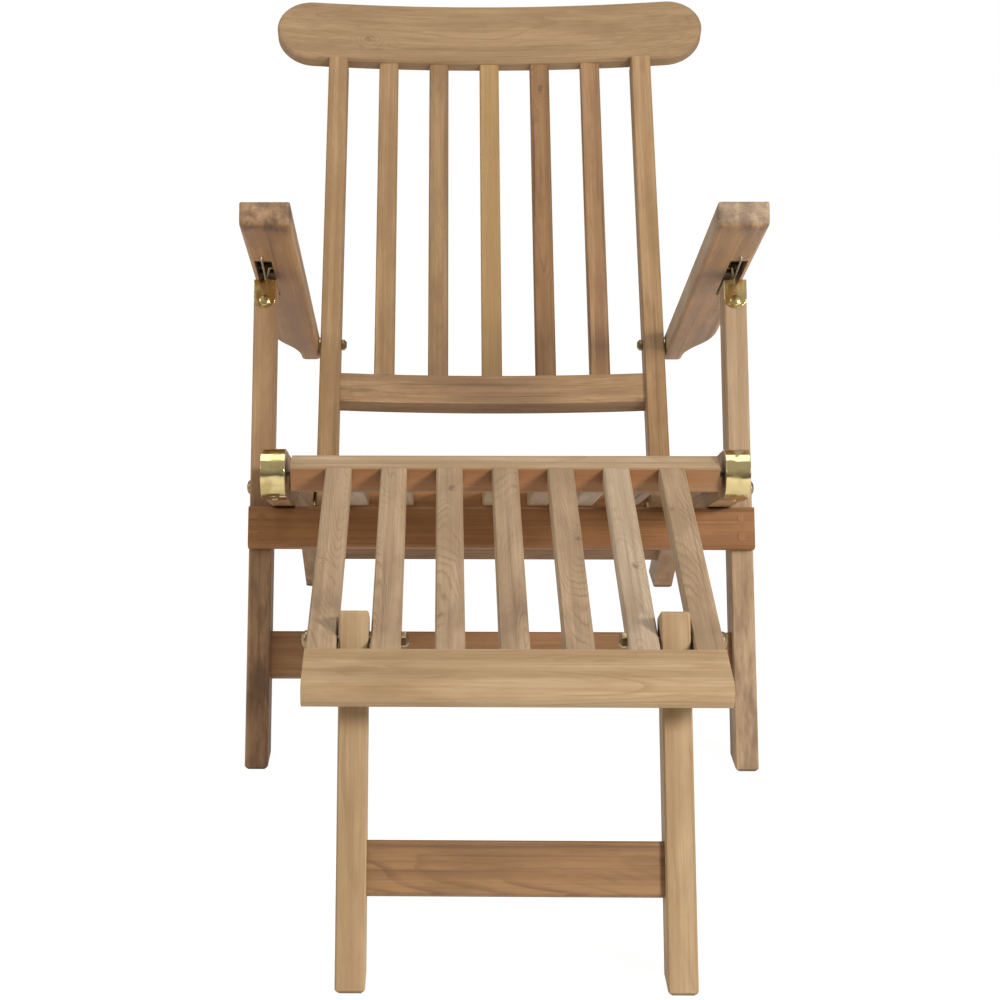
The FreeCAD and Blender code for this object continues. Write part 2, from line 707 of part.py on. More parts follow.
def arm_plan():
    """Outline of an armrest from above: straight inner edge, outer edge drawn in at the rear."""
    narrow = ARM_INNER + ARM_REAR_WIDTH
    shift = ARM_OUTER - narrow
    start = ARM_TAPER_START
    end = start - ARM_TAPER_LENGTH
    radius = (ARM_TAPER_LENGTH ** 2 + shift ** 2) / (4 * shift)
    half_turn = math.asin(ARM_TAPER_LENGTH / 2 / radius) / 2
    bulge = (radius * math.sin(half_turn), radius * (1 - math.cos(half_turn)))
    middle = ((ARM_OUTER + narrow) / 2, (start + end) / 2)
    plan = [
        Vector(ARM_INNER, -ARM_LENGTH_BEHIND, 0),
        Vector(ARM_INNER, ARM_LENGTH_AHEAD, 0),
        Vector(ARM_OUTER, ARM_LENGTH_AHEAD, 0),
        Vector(ARM_OUTER, start, 0),
        Vector(middle[0], middle[1], 0),
        Vector(narrow, end, 0),
        Vector(narrow, -ARM_LENGTH_BEHIND, 0),
    ]
    shoulder = Vector(ARM_OUTER - bulge[1], start - bulge[0], 0)
    hollow = Vector(narrow + bulge[1], end + bulge[0], 0)
    return [
        Part.makeLine(plan[0], plan[1]),
        Part.makeLine(plan[1], plan[2]),
        Part.makeLine(plan[2], plan[3]),
        Part.Arc(plan[3], shoulder, plan[4]).toShape(),
        Part.Arc(plan[4], hollow, plan[5]).toShape(),
        Part.makeLine(plan[5], plan[6]),
        Part.makeLine(plan[6], plan[0]),
    ]


def slot_middle():
    """Middle of the armrest's slot across the chair."""
    return LEG_MIDDLE


def slot_rear():
    """Rear end of the armrest's slot along the arm line."""
    return catch_pin_place(0) - SLOT_BEHIND_PINS


def slot_front():
    """Front end of the armrest's slot along the arm line."""
    return catch_pin_place(CATCH_PIN_COUNT - 1) + SLOT_AHEAD_OF_PINS


def armrest():
    """Right armrest, drawn along the arm line with its top towards -Z, then turned into place."""
    half = ARM_THICKNESS / 2
    board = Part.Face(Part.Wire(arm_plan())).extrude(Vector(0, 0, ARM_THICKNESS))
    board.translate(Vector(0, 0, -half))
    board = board.makeFillet(ARM_NOSE_BOTTOM_RADIUS, [edge for edge in board.Edges if is_nose_edge(edge, half)])
    board = board.makeChamfer(ARM_NOSE_TOP_EASE, [edge for edge in board.Edges if is_nose_edge(edge, -half)])
    corners = [edge for edge in board.Edges if is_nose_corner(edge)]
    board = board.makeChamfer(ARM_NOSE_CORNER_RADIUS / 2, corners)
    board = board.makeChamfer(EDGE_EASE, [edge for edge in board.Edges if is_long_edge(edge)])
    x = slot_middle()
    underside = half
    slot = box(x - SLOT_WIDTH / 2, x + SLOT_WIDTH / 2, slot_rear(), slot_front(),
               underside - SLOT_DEPTH, underside + OVERLAP)
    board = ARM_LINE.placed(board.cut([slot, clip_hole()]))
    seat = rod_x(HEAD_RADIUS + ARM_HEAD_GAP, ARM_INNER + ARM_REAR_WIDTH, ARM_OUTER, ARM_PIVOT)
    return board.cut([seat, leg_hole(ARM_PIVOT, ARM_INNER, ARM_INNER + ARM_REAR_WIDTH)])


def is_nose_edge(edge, level):
    """True for the edge across the armrest's front end at one face."""
    span = edge.BoundBox
    at_front = span.YMin > ARM_LENGTH_AHEAD - 0.01 and span.XLength > ARM_WIDTH / 2
    return at_front and abs(span.ZMax - level) < 0.01 and span.ZLength < 0.01


def is_nose_corner(edge):
    """True for the two upright edges of the armrest's front end."""
    span = edge.BoundBox
    return span.YMin > ARM_LENGTH_AHEAD - 0.01 and span.ZLength > ARM_THICKNESS / 3


def is_long_edge(edge):
    """True for the edges of the armrest's faces that run from its rear to its front."""
    span = edge.BoundBox
    on_face = abs(abs(span.ZMax) - ARM_THICKNESS / 2) < 0.01 and span.ZLength < 0.01
    return on_face and span.YLength > ARM_LENGTH_BEHIND


def catch_pin_place(index):
    """Distance of a catch pin from the arm pivot."""
    return engaged_place() + (index - CATCH_ENGAGED) * CATCH_PIN_SPACING


def engaged_place():
    """Distance of the engaged catch pin from the arm pivot: over the middle of the front leg."""
    top = LEG_LINE.at(LEG_TOP_ABOVE_PIVOT)
    return (top[0] - ARM_LINE.y) * ARM_LINE.cos + (top[1] - ARM_LINE.z) * ARM_LINE.sin


def catch_pin(index):
    """Steel cross pin between the walls of the armrest's slot, drawn along the arm line."""
    start = Vector(slot_middle() - SLOT_WIDTH / 2, catch_pin_place(index), 0)
    return faceted(HEAD_SIDES, CATCH_PIN_RADIUS, SLOT_WIDTH, start, Vector(1, 0, 0))


def catch_pins():
    """The cross pins of the right armrest."""
    return [ARM_LINE.placed(catch_pin(index)) for index in range(CATCH_PIN_COUNT)]


def clip_hole():
    """Square hole in the armrest's underside that holds the end of the wire clip."""
    half = CLIP_WIRE / 2 + TENON_GAP
    x = slot_middle()
    y = slot_front() + CLIP_FROM_SLOT
    top = ARM_THICKNESS / 2
    return box(x - half, x + half, y - half, y + half, top - CLIP_HOLE_DEPTH - TENON_GAP, top + OVERLAP)


def wire_clip():
    """Steel wire keeper: from its hole down, then back under the slot to the bracket's cap."""
    half = CLIP_WIRE / 2
    x = slot_middle()
    top = ARM_THICKNESS / 2
    front = slot_front() + CLIP_FROM_SLOT
    rear = front - CLIP_LENGTH
    low = top + CLIP_DROP
    outline = polygon([
        (front + half, top - CLIP_HOLE_DEPTH),
        (front - half, top - CLIP_HOLE_DEPTH),
        (front - half, low - half),
        (rear, low + CLIP_FALL - half),
        (rear, low + CLIP_FALL + half),
        (front + half, low + half),
    ])
    return ARM_LINE.placed(prism_x(outline, x - half, x + half))


def catch_bracket():
    """Brass bracket on the top of the right front leg: cap, two tongues and the upright hook."""
    half = LEG_DEPTH / 2
    t = BRACKET_THICKNESS
    top = LEG_TOP_ABOVE_PIVOT
    cap = box(LEG_INNER, LEG_OUTER, top, top + t, -half - t, half + t)
    pieces = [cap]
    for side in (1, -1):
        y0 = top - BRACKET_TONGUE
        low = half if side > 0 else -half - t
        tongue = box(LEG_INNER, LEG_OUTER, y0 + LEG_THICKNESS / 2, top, low, low + t)
        round_end = Part.makeCylinder(LEG_THICKNESS / 2, t, Vector(LEG_MIDDLE, y0 + LEG_THICKNESS / 2, low),
                                      Vector(0, 0, 1))
        pieces += [tongue, round_end]
    body = pieces[0].fuse(pieces[1:]).removeSplitter()
    body = LEG_LINE.placed(body)
    return body.fuse(catch_hook()).removeSplitter()


def catch_hook():
    """Upright plate that reaches into the armrest's slot and cradles the engaged pin."""
    x = LEG_MIDDLE
    y, z = ARM_LINE.at(engaged_place())
    base = [LEG_LINE.at(LEG_TOP_ABOVE_PIVOT + BRACKET_THICKNESS / 2, side * HOOK_HALF_WIDTH) for side in (1, -1)]
    tips = [(y + side * HOOK_HALF_WIDTH * HOOK_TAPER, z) for side in (1, -1)]
    outline = polygon([base[0], base[1], tips[0], tips[1]])
    plate = prism_x(outline, x - HOOK_THICKNESS / 2, x + HOOK_THICKNESS / 2)
    cradle = rod_x(CATCH_PIN_RADIUS + CATCH_GAP, x - LEG_THICKNESS, x + LEG_THICKNESS, (y, z))
    return plate.cut(cradle)


def bracket_screws():
    """Round-headed screws through the brackets' front and rear tongues."""
    screws = []
    reach = LEG_DEPTH / 2 + BRACKET_THICKNESS
    for side in (1, -1):
        y, z = LEG_LINE.at(LEG_TOP_ABOVE_PIVOT - BRACKET_TONGUE + BRACKET_SCREW_FROM_TIP, side * reach)
        out = Vector(0, -LEG_LINE.sin * side, LEG_LINE.cos * side)
        head = faceted(HEAD_SIDES, SCREW_RADIUS, SCREW_HEIGHT, Vector(LEG_MIDDLE, y, z), out, SCREW_HEIGHT / 2)
        screws += both_sides(head)
    return screws


def pivot_bolt(place, x_head, x_nut):
    """Bolt across a pivot: low head outside, round shank up to the cap nut's face."""
    head = faceted(HEAD_SIDES, HEAD_RADIUS, HEAD_HEIGHT, Vector(x_head, *place), Vector(1, 0, 0), HEAD_EASE)
    shank = rod_x(BOLT_RADIUS, x_nut, x_head + OVERLAP, place)
    return head.fuse(shank).removeSplitter()


def cap_nut(place, x_face):
    """Six-sided cap nut on the inner side of a pivot, drawn in to its closed crown."""
    return faceted(6, NUT_RADIUS, NUT_HEIGHT, Vector(x_face, *place), Vector(-1, 0, 0), NUT_EASE)


def washer(place, x0, x1, radius=WASHER_RADIUS):
    """Flat washer between two boards."""
    ring = faceted(HEAD_SIDES, radius, x1 - x0, Vector(x0, *place), Vector(1, 0, 0))
    return ring.cut(leg_hole(place, x0, x1))


def frame_pivot_bolts():
    """Bolts of the leg pivots and the back pivots."""
    leg = pivot_bolt(LEG_PIVOT, LEG_OUTER, RAIL_INNER)
    back = pivot_bolt(BACK_PIVOT, RAIL_OUTER, STILE_INNER)
    return both_sides(leg) + both_sides(back)


def frame_cap_nuts():
    """Cap nuts of the leg pivots and the back pivots."""
    return both_sides(cap_nut(LEG_PIVOT, RAIL_INNER)) + both_sides(cap_nut(BACK_PIVOT, STILE_INNER))


def frame_washers():
    """Washers between the side rails and the back's stiles."""
    return both_sides(washer(BACK_PIVOT, STILE_OUTER, RAIL_INNER))


def arm_pivot_bolts():
    """Bolts of the armrests' rear pivots."""
    return both_sides(pivot_bolt(ARM_PIVOT, ARM_INNER + ARM_REAR_WIDTH, STILE_INNER))


def arm_cap_nuts():
    """Cap nuts on the inner faces of the stiles."""
    return both_sides(cap_nut(ARM_PIVOT, STILE_INNER))


def arm_washers():
    """Washers between the stiles and the armrests."""
    return both_sides(washer(ARM_PIVOT, STILE_OUTER, ARM_INNER))


def footrest_board(x0, x1, y0, y1, bottom, top):
    """Corners of a footrest piece, drawn along the footrest line with its top towards -Z."""
    return (x0, x1, y0, y1, -top, -bottom)


def footrest_slat_corners(index):
    """Corners of a footrest slat between the hinge rail and the front board."""
    x = SLAT_PITCH * (index - (SLAT_COUNT - 1) / 2)
    top = HINGE_RAIL_HEIGHT / 2
    return footrest_board(x - SLAT_WIDTH / 2, x + SLAT_WIDTH / 2, HINGE_RAIL_DEPTH / 2, FRONT_BOARD_START,
                          top - SLAT_THICKNESS, top)


def footrest_slat(index):
    """One footrest slat; the two beside each leg are bored for the leg's bolt."""
    slat = FOOTREST_LINE.placed(tenoned_board(*footrest_slat_corners(index), "y"))
    if index in (0, 1, SLAT_COUNT - 2, SLAT_COUNT - 1):
        slat = slat.cut(rod_x(BOLT_RADIUS + PIN_FIT, -LEG_FRAME_WIDTH, LEG_FRAME_WIDTH, FLEG_PIVOT))
    return slat


def slat_mortises():
    """Mortises for the tenons of all footrest slats."""
    cuts = []
    for index in range(SLAT_COUNT):
        cuts += tenons(*footrest_slat_corners(index), "y", TENON_LENGTH, (True, True), TENON_GAP)
    return [FOOTREST_LINE.placed(cut) for cut in cuts]


def footrest_hinge_rail():
    """Rear rail of the footrest, on the hinge axis between the side rails."""
    half = HINGE_RAIL_DEPTH / 2
    up = HINGE_RAIL_HEIGHT / 2
    end = HINGE_RAIL_END
    rail = eased(box(-end, end, -half, half, -up, up), "x")
    rail = FOOTREST_LINE.placed(rail)
    axis = rod_x(HINGE_PIN_RADIUS + PIN_FIT, end - HINGE_PIN_IN_RAIL, end + OVERLAP, FOOTREST_LINE.at(0.0))
    return rail.cut(slat_mortises() + both_sides(axis))


def footrest_front_board():
    """Front board of the footrest with its full round nose."""
    half = SLAT_PITCH * (SLAT_COUNT - 1) / 2 + SLAT_WIDTH / 2 + FRONT_BOARD_OVERHANG
    top = -HINGE_RAIL_HEIGHT / 2
    radius = FRONT_BOARD_THICKNESS / 2
    start = FRONT_BOARD_START
    nose = start + FRONT_BOARD_LENGTH
    low = top + FRONT_BOARD_THICKNESS
    edges = [
        Part.makeLine(Vector(0, start, low), Vector(0, start, top)),
        Part.makeLine(Vector(0, start, top), Vector(0, nose - radius, top)),
        Part.Arc(Vector(0, nose - radius, top), Vector(0, nose, top + radius),
                 Vector(0, nose - radius, low)).toShape(),
        Part.makeLine(Vector(0, nose - radius, low), Vector(0, start, low)),
    ]
    board = FOOTREST_LINE.placed(prism_x(edges, -half, half))
    return board.cut(slat_mortises())


def footrest_hinge_pins():
    """Steel pins from the hinge rail's ends into the side rails' noses."""
    start = HINGE_RAIL_END - HINGE_PIN_IN_RAIL
    end = RAIL_OUTER - HINGE_PIN_END_WALL - HINGE_PIN_END_GAP
    return both_sides(rod_x(HINGE_PIN_RADIUS, start, end, FOOTREST_LINE.at(0.0)))


def footrest_leg():
    """Right footrest leg: round top that stands up between the slats, lean forward, level foot."""
    half = FLEG_DEPTH / 2
    reach = 2 * HINGE_HEIGHT
    x0 = FLEG_INNER
    x1 = FLEG_OUTER
    leg = box(x0, x1, -FLEG_ABOVE_PIVOT, reach, -half, half)
    tops = [edge for edge in leg.Edges if edge.BoundBox.YMax < 0 and edge.BoundBox.XLength > 1.0]
    leg = leg.makeFillet(FLEG_TOP_RADIUS, tops)
    leg = eased(foot_cut(FLEG_LINE.placed(leg)), FLEG_LINE.forward())
    cuts = [leg_hole(FLEG_PIVOT, FLEG_INNER, FLEG_OUTER)]
    cuts += [FLEG_LINE.placed(piece) for piece in fleg_tenons(TENON_GAP)]
    return leg.cut(cuts)


def fleg_stretcher_block():
    """Corners of the footrest legs' stretcher, drawn along the leg line."""
    y0 = FLEG_STRETCHER_BELOW - FLEG_STRETCHER_HEIGHT / 2
    half = FLEG_STRETCHER_THICKNESS / 2
    return (-FLEG_INNER, FLEG_INNER, y0, y0 + FLEG_STRETCHER_HEIGHT, -half, half)


def fleg_tenons(gap=0.0):
    """Tenons of the footrest legs' stretcher."""
    return tenons(*fleg_stretcher_block(), "x", TENON_LENGTH, (True, True), gap)


def footrest_leg_stretcher():
    """Stretcher between the footrest legs."""
    return FLEG_LINE.placed(tenoned_board(*fleg_stretcher_block(), "x"))


def fleg_bolt_ends():
    """Outer side of the outer slat and inner side of the inner slat, beside a leg."""
    outer = SLAT_PITCH * (SLAT_COUNT - 1) / 2 + SLAT_WIDTH / 2
    inner = SLAT_PITCH * (SLAT_COUNT - 3) / 2 - SLAT_WIDTH / 2
    return outer, inner


def footrest_leg_bolts():
    """Bolts through slat, leg and slat."""
    outer, inner = fleg_bolt_ends()
    return both_sides(pivot_bolt(FLEG_PIVOT, outer, inner))


def footrest_leg_nuts():
    """Cap nuts on the inner sides of the inner slats."""
    inner = fleg_bolt_ends()[1]
    return both_sides(cap_nut(FLEG_PIVOT, inner))


def left_and_right(name, solid):
    """Two nodes made from the right-hand piece; left is -X, as seen from the foot end."""
    return {name + "_left": mirrored(solid), name + "_right": solid}


def seat_nodes():
    """Pieces of the seat frame, which stands on the rear feet."""
    nodes = left_and_right("side_rail", side_rail())
    nodes.update(left_and_right("hinge_strap", hinge_strap()))
    nodes["strap_screws"] = strap_screws()
    nodes["seat_cross_rail_front"] = seat_cross_rail_front()
    nodes["seat_cross_rail_rear"] = seat_cross_rail_rear()
    nodes["rear_stretcher"] = rear_stretcher()
    for index in range(SEAT_SLAT_COUNT):
        nodes["seat_slat_%d" % (index + 1)] = seat_slat(index)
    nodes["frame_pivot_bolts"] = frame_pivot_bolts()
    nodes["frame_cap_nuts"] = frame_cap_nuts()
    nodes["frame_washers"] = frame_washers()
    return nodes


def leg_nodes():
    """Pieces of the front leg frame."""
    nodes = left_and_right("front_leg", front_leg())
    nodes["front_apron"] = front_apron()
    nodes["apron_plugs"] = apron_plugs()
    nodes["leg_stretcher"] = leg_stretcher()
    nodes.update(left_and_right("catch_bracket", catch_bracket()))
    nodes["bracket_screws"] = bracket_screws()
    return nodes


def back_nodes():
    """Pieces of the back frame."""
    nodes = {"headrest": headrest()}
    nodes.update(left_and_right("back_stile", back_stile()))
    for index, x in enumerate(slat_places()):
        nodes["back_slat_%d" % (index + 1)] = back_slat(x)
    nodes["back_lower_rail"] = back_lower_rail()
    nodes["arm_pivot_bolts"] = arm_pivot_bolts()
    nodes["arm_cap_nuts"] = arm_cap_nuts()
    nodes["arm_washers"] = arm_washers()
    return nodes


def arm_nodes():
    """Pieces of the two armrests."""
    nodes = left_and_right("armrest", armrest())
    pins = catch_pins()
    nodes["catch_pins_left"] = [mirrored(pin) for pin in pins]
    nodes["catch_pins_right"] = pins
    nodes.update(left_and_right("wire_clip", wire_clip()))
    return nodes


def footrest_nodes():
    """Pieces of the footrest and of its folding legs."""
    nodes = {"footrest_hinge_rail": footrest_hinge_rail()}
    for index in range(SLAT_COUNT):
        nodes["footrest_slat_%d" % (index + 1)] = footrest_slat(index)
    nodes["footrest_front_board"] = footrest_front_board()
    nodes["footrest_hinge_pins"] = footrest_hinge_pins()
    nodes["footrest_leg_bolts"] = footrest_leg_bolts()
    nodes["footrest_leg_nuts"] = footrest_leg_nuts()
    nodes.update(left_and_right("footrest_leg", footrest_leg()))
    nodes["footrest_leg_stretcher"] = footrest_leg_stretcher()
    return nodes


def main():
    """Build every node, move the origin to the middle of the footprint and write the files."""
    os.makedirs("parts", exist_ok=True)
    nodes = {}
    for group in (seat_nodes, leg_nodes, back_nodes, arm_nodes, footrest_nodes):
        nodes.update(group())
    shapes = {}
    for name, piece in nodes.items():
        shapes[name] = Part.makeCompound(piece) if isinstance(piece, list) else piece
    span = Part.makeCompound(list(shapes.values())).BoundBox
    middle = (span.YMin + span.YMax) / 2
    for name, shape in shapes.items():
        shape.translate(Vector(0, -middle, 0))
        shape.exportStep("parts/%s.step" % name)
    print("size %.1f x %.1f x %.1f, lowest %.3f" % (span.XLength, span.YLength, span.ZLength, span.ZMin))
    places = {"hinge": SEAT_LINE.at(0.0), "leg_pivot": LEG_PIVOT, "back_pivot": BACK_PIVOT,
              "arm_pivot": ARM_PIVOT, "footrest_leg_pivot": FLEG_PIVOT}
    for name, (y, z) in places.items():
        print("%s y %.3f z %.3f" % (name, y - middle, z))
    facets = sum(len(shape.tessellate(0.3)[1]) for shape in shapes.values())
    solids = sum(len(shape.Solids) for shape in shapes.values())
    faulty = [name for name, shape in shapes.items() if not shape.isValid()]
    print("nodes %d, solids %d, facets about %d, faulty %s" % (len(shapes), solids, facets, faulty))


main()
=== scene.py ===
"""Studio scene of a folding steamer chair: finishes for its boards and fittings, light and camera.

Lengths are metres and slopes are degrees. The frame holds the chair's solids; this script gives each
board its own teak, turns the small metal pieces rounder than the solids show them, and sets up the
studio.
"""

import logging
import math
import random
from dataclasses import dataclass
from enum import Enum

import bpy
from mathutils import Matrix, Vector


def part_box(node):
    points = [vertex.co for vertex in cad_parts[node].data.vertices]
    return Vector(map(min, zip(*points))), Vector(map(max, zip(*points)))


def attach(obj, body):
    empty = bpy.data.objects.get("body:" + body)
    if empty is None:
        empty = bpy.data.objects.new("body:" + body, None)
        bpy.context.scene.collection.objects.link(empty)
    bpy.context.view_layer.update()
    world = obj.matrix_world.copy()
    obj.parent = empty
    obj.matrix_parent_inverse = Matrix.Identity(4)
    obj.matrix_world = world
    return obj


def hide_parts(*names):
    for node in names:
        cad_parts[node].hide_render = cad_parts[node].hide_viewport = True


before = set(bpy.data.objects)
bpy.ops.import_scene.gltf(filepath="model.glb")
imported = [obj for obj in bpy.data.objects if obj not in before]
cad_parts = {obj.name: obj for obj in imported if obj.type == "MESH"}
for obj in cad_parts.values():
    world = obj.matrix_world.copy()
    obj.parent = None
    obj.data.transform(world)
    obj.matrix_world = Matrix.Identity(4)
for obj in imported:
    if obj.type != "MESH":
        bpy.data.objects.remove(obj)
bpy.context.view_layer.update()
LOG = logging.getLogger("steamer_chair")

Colour = tuple[float, float, float]
Socket = bpy.types.NodeSocket

# Slopes of the chair's frames, in degrees: lengths rise towards the rear by these angles
SEAT_SLOPE = -18.1
REAR_LEG_SLOPE = -40.0
FRONT_LEG_SLOPE = 63.9
BACK_SLOPE = 48.5
ARM_SLOPE = -23.6
FOOTREST_SLOPE = 11.3
FOOTREST_LEG_SLOPE = 62.5

# Painted shade in slots, corners and joints, as seen
RECESS_SHADE: Colour = (46, 30, 20)


def linear(seen: Colour) -> Colour:
    """Turn a colour as it is seen, 0 to 255, into the scene's linear values.

    Args:
        seen: Red, green and blue as seen.

    Returns:
        The linear colour.
    """
    def one(value: float) -> float:
        """Turn one channel into its linear value."""
        share = value / 255.0
        return share / 12.92 if share <= 0.04045 else ((share + 0.055) / 1.055) ** 2.4
    return tuple(one(value) for value in seen)


def upright(slope: float) -> Vector:
    """Direction out of a face whose length has this slope, upwards."""
    angle = math.radians(slope)
    return Vector((0.0, -math.sin(angle), math.cos(angle)))


def along(slope: float) -> Vector:
    """Direction towards the rear along a slope."""
    angle = math.radians(slope)
    return Vector((0.0, math.cos(angle), math.sin(angle)))


class Run(Enum):
    """Which way a board's length lies."""

    ACROSS = "across"
    ALONG = "along"


@dataclass(frozen=True)
class Teak:
    """Colours and figure of one plank of teak.

    Args:
        light: Early wood, as seen.
        dark: Late wood, as seen.
        streak: Dark mineral streaks, as seen.
        rings: How strongly the growth rings show.
        bands: How strongly the long bands show.
        streaks: How much of the plank the mineral streaks cover.
        blotches: How strongly the cloudy patches show.
    """

    light: Colour
    dark: Colour
    streak: Colour
    rings: float = 0.35
    bands: float = 0.45
    streaks: float = 0.25
    blotches: float = 0.30


class Tone(Enum):
    """The planks that the chair was cut from."""

    HONEY = Teak((167, 134, 95), (125, 92, 55), (87, 58, 33), 0.25, 0.55, 0.40, 0.45)
    WHEAT = Teak((158, 128, 92), (122, 92, 57), (88, 60, 37), 0.45, 0.40, 0.28, 0.35)
    GOLD = Teak((175, 148, 111), (138, 106, 68), (100, 74, 46), 0.60, 0.38, 0.20, 0.40)
    PALE_GOLD = Teak((180, 156, 126), (140, 112, 76), (102, 78, 51), 0.40, 0.60, 0.35, 0.40)
    SAND = Teak((171, 144, 112), (124, 98, 69), (86, 60, 39), 0.75, 0.30, 0.30, 0.45)
    PALE = Teak((188, 166, 138), (140, 115, 88), (95, 69, 48), 0.50, 0.30, 0.30, 0.35)
    NUT = Teak((152, 120, 82), (112, 80, 48), (80, 52, 30), 0.25, 0.50, 0.40, 0.45)
    OLIVE = Teak((162, 129, 83), (134, 102, 58), (98, 70, 37), 0.15, 0.40, 0.10, 0.15)
    UMBER = Teak((141, 105, 66), (108, 74, 42), (66, 38, 20), 0.80, 0.55, 0.75, 0.45)
    TAWNY = Teak((168, 135, 97), (124, 90, 58), (76, 48, 30), 0.30, 0.55, 0.50, 0.45)
    STRAW = Teak((173, 145, 112), (136, 107, 74), (93, 65, 42), 0.30, 0.40, 0.25, 0.30)
    ROSY = Teak((156, 120, 82), (116, 81, 49), (73, 43, 24), 0.25, 0.60, 0.75, 0.45)
    RUSSET = Teak((152, 106, 60), (119, 76, 40), (81, 50, 26), 0.40, 0.55, 0.50, 0.35)
    COCOA = Teak((149, 108, 68), (112, 77, 46), (78, 51, 30), 0.40, 0.60, 0.60, 0.40)
    BARK = Teak((148, 111, 72), (107, 74, 46), (72, 48, 31), 0.85, 0.40, 0.45, 0.45)
    AMBER = Teak((178, 147, 110), (136, 102, 72), (84, 60, 44), 0.35, 0.45, 0.40, 0.60)
    DRIFT = Teak((184, 162, 134), (140, 112, 84), (92, 70, 54), 0.35, 0.40, 0.35, 0.50)


@dataclass(frozen=True)
class Knot:
    """A knot that bends the grain round it.

    Args:
        lengthways: Place along the board, from its middle.
        sideways: Place across the board, from its middle.
        size: Radius of the swirl; 0 for none.
    """

    lengthways: float = 0.0
    sideways: float = 0.0
    size: float = 0.0


@dataclass(frozen=True)
class Stain:
    """A dark patch along a board: marks of water or hands, and on the front legs painted shadow.

    Args:
        from_end: Distance of its middle from the board's front or left end.
        reach: How far it spreads along the board.
        amount: How dark it is; 0 for none.
    """

    from_end: float = 0.0
    reach: float = 0.02
    amount: float = 0.0


@dataclass(frozen=True)
class AwayShade:
    """Painted shade: a darker, warmer colour on the faces that turn away from the board's upper face.

    Args:
        colour: Its colour, as seen.
        amount: How much of it shows; 0 for none.
        facing: Cosine of the angle to the upper face at which it begins.
    """

    colour: Colour = (140, 88, 46)
    amount: float = 0.0
    facing: float = 0.95


@dataclass(frozen=True)
class Cut:
    """How one board is sawn from its plank.

    Args:
        tone: The plank.
        run: Which way the length lies.
        slope: Slope of the length, or of the wide face where the board lies across.
        ring_gap: Distance between growth rings.
        arch: How fast the rings' centre sinks along the board, which draws the arches.
        depth: How far the rings' centre lies under the face.
        knot: The board's knot.
        stain: The board's stain.
        darkening: Painted shade on the board's faces that turn away from its upper face.
        recess: How far the painted shade reaches into its slots and corners.
    """

    tone: Tone
    run: Run
    slope: float
    ring_gap: float = 0.0024
    arch: float = 0.05
    depth: float = 0.05
    knot: Knot = Knot()
    stain: Stain = Stain()
    darkening: AwayShade = AwayShade()
    recess: float = 0.014


class Shader:
    """A node tree with short calls for adding and joining nodes."""

    def __init__(self, tree: bpy.types.NodeTree) -> None:
        """Keep the tree to fill."""
        self.tree = tree

    def add(self, kind: str, values: dict | None = None, **settings: object) -> bpy.types.Node:
        """Add a node and set it up.

        Args:
            kind: Blender's name for the node type.
            values: Input name or number to a plain value or a socket to join.
            **settings: Attributes of the node.

        Returns:
            The new node.
        """
        node = self.tree.nodes.new(kind)
        for name, setting in settings.items():
            setattr(node, name, setting)
        for key, value in (values or {}).items():
            if isinstance(value, Socket):
                self.tree.links.new(value, node.inputs[key])
            else:
                node.inputs[key].default_value = value
        return node

    def seeded(self, place: Socket, seed: Socket) -> Socket:
        """Shift a place by a board's seed, so that each board has its own noise."""
        offset = self.add("ShaderNodeCombineXYZ", {0: seed, 1: seed, 2: seed}).outputs[0]
        return self.add("ShaderNodeVectorMath", {0: place, 1: offset}, operation="ADD").outputs[0]

    def maths(self, operation: str, *terms: float | Socket) -> Socket:
        """Join numbers with one operation and return the result."""
        return self.add("ShaderNodeMath", dict(enumerate(terms)), operation=operation).outputs[0]

    def fall_off(self, square: Socket) -> Socket:
        """Bell-shaped share of a squared distance: 1 in the middle, and 0 far away."""
        return self.maths("EXPONENT", self.maths("MULTIPLY", square, -1.0))

    def total(self, *terms: float | Socket) -> Socket:
        """Add several numbers up.

        Args:
            *terms: Numbers or sockets.

        Returns:
            The sum.
        """
        result = terms[0]
        for term in terms[1:]:
            result = self.maths("ADD", result, term)
        return result

    def blend(self, share: float | Socket, first: Colour | Socket, second: Colour | Socket) -> Socket:
        """Mix two colours.

        Args:
            share: How much of the second colour.
            first: A colour or a socket.
            second: A colour or a socket.

        Returns:
            The mixed colour.
        """
        first = (*first, 1.0) if isinstance(first, tuple) else first
        second = (*second, 1.0) if isinstance(second, tuple) else second
        return self.add("ShaderNodeMix", {0: share, 6: first, 7: second}, data_type="RGBA").outputs[2]

    def ramp(self, value: Socket, low: float, high: float) -> Socket:
        """Stretch a value so that low becomes 0 and high becomes 1, with soft ends."""
        values = {0: value, 1: low, 2: high}
        return self.add("ShaderNodeMapRange", values, interpolation_type="SMOOTHSTEP").outputs[0]

    def noise(self, place: Socket, per_metre: Colour, detail: float) -> Socket:
        """Add noise that is stretched along the board.

        Args:
            place: Coordinates on the board.
            per_metre: Waves per metre along, across and through the board.
            detail: How many finer layers it has.

        Returns:
            The noise, from 0 to 1.
        """
        scaled = self.add("ShaderNodeVectorMath", {0: place, 1: per_metre}, operation="MULTIPLY").outputs[0]
        values = {"Vector": scaled, "Scale": 1.0, "Detail": detail, "Roughness": 0.6}
        return self.add("ShaderNodeTexNoise", values).outputs["Fac"]

    def surface(self, **values: object) -> None:
        """Finish a material with a Principled surface.

        Args:
            **values: Input name, with _ for spaces, to a plain value or a socket.
        """
        named = {name.replace("_", " "): value for name, value in values.items()}
        principled = self.add("ShaderNodeBsdfPrincipled", named)
        leave = self.add("ShaderNodeOutputMaterial")
        self.tree.links.new(principled.outputs[0], leave.inputs["Surface"])


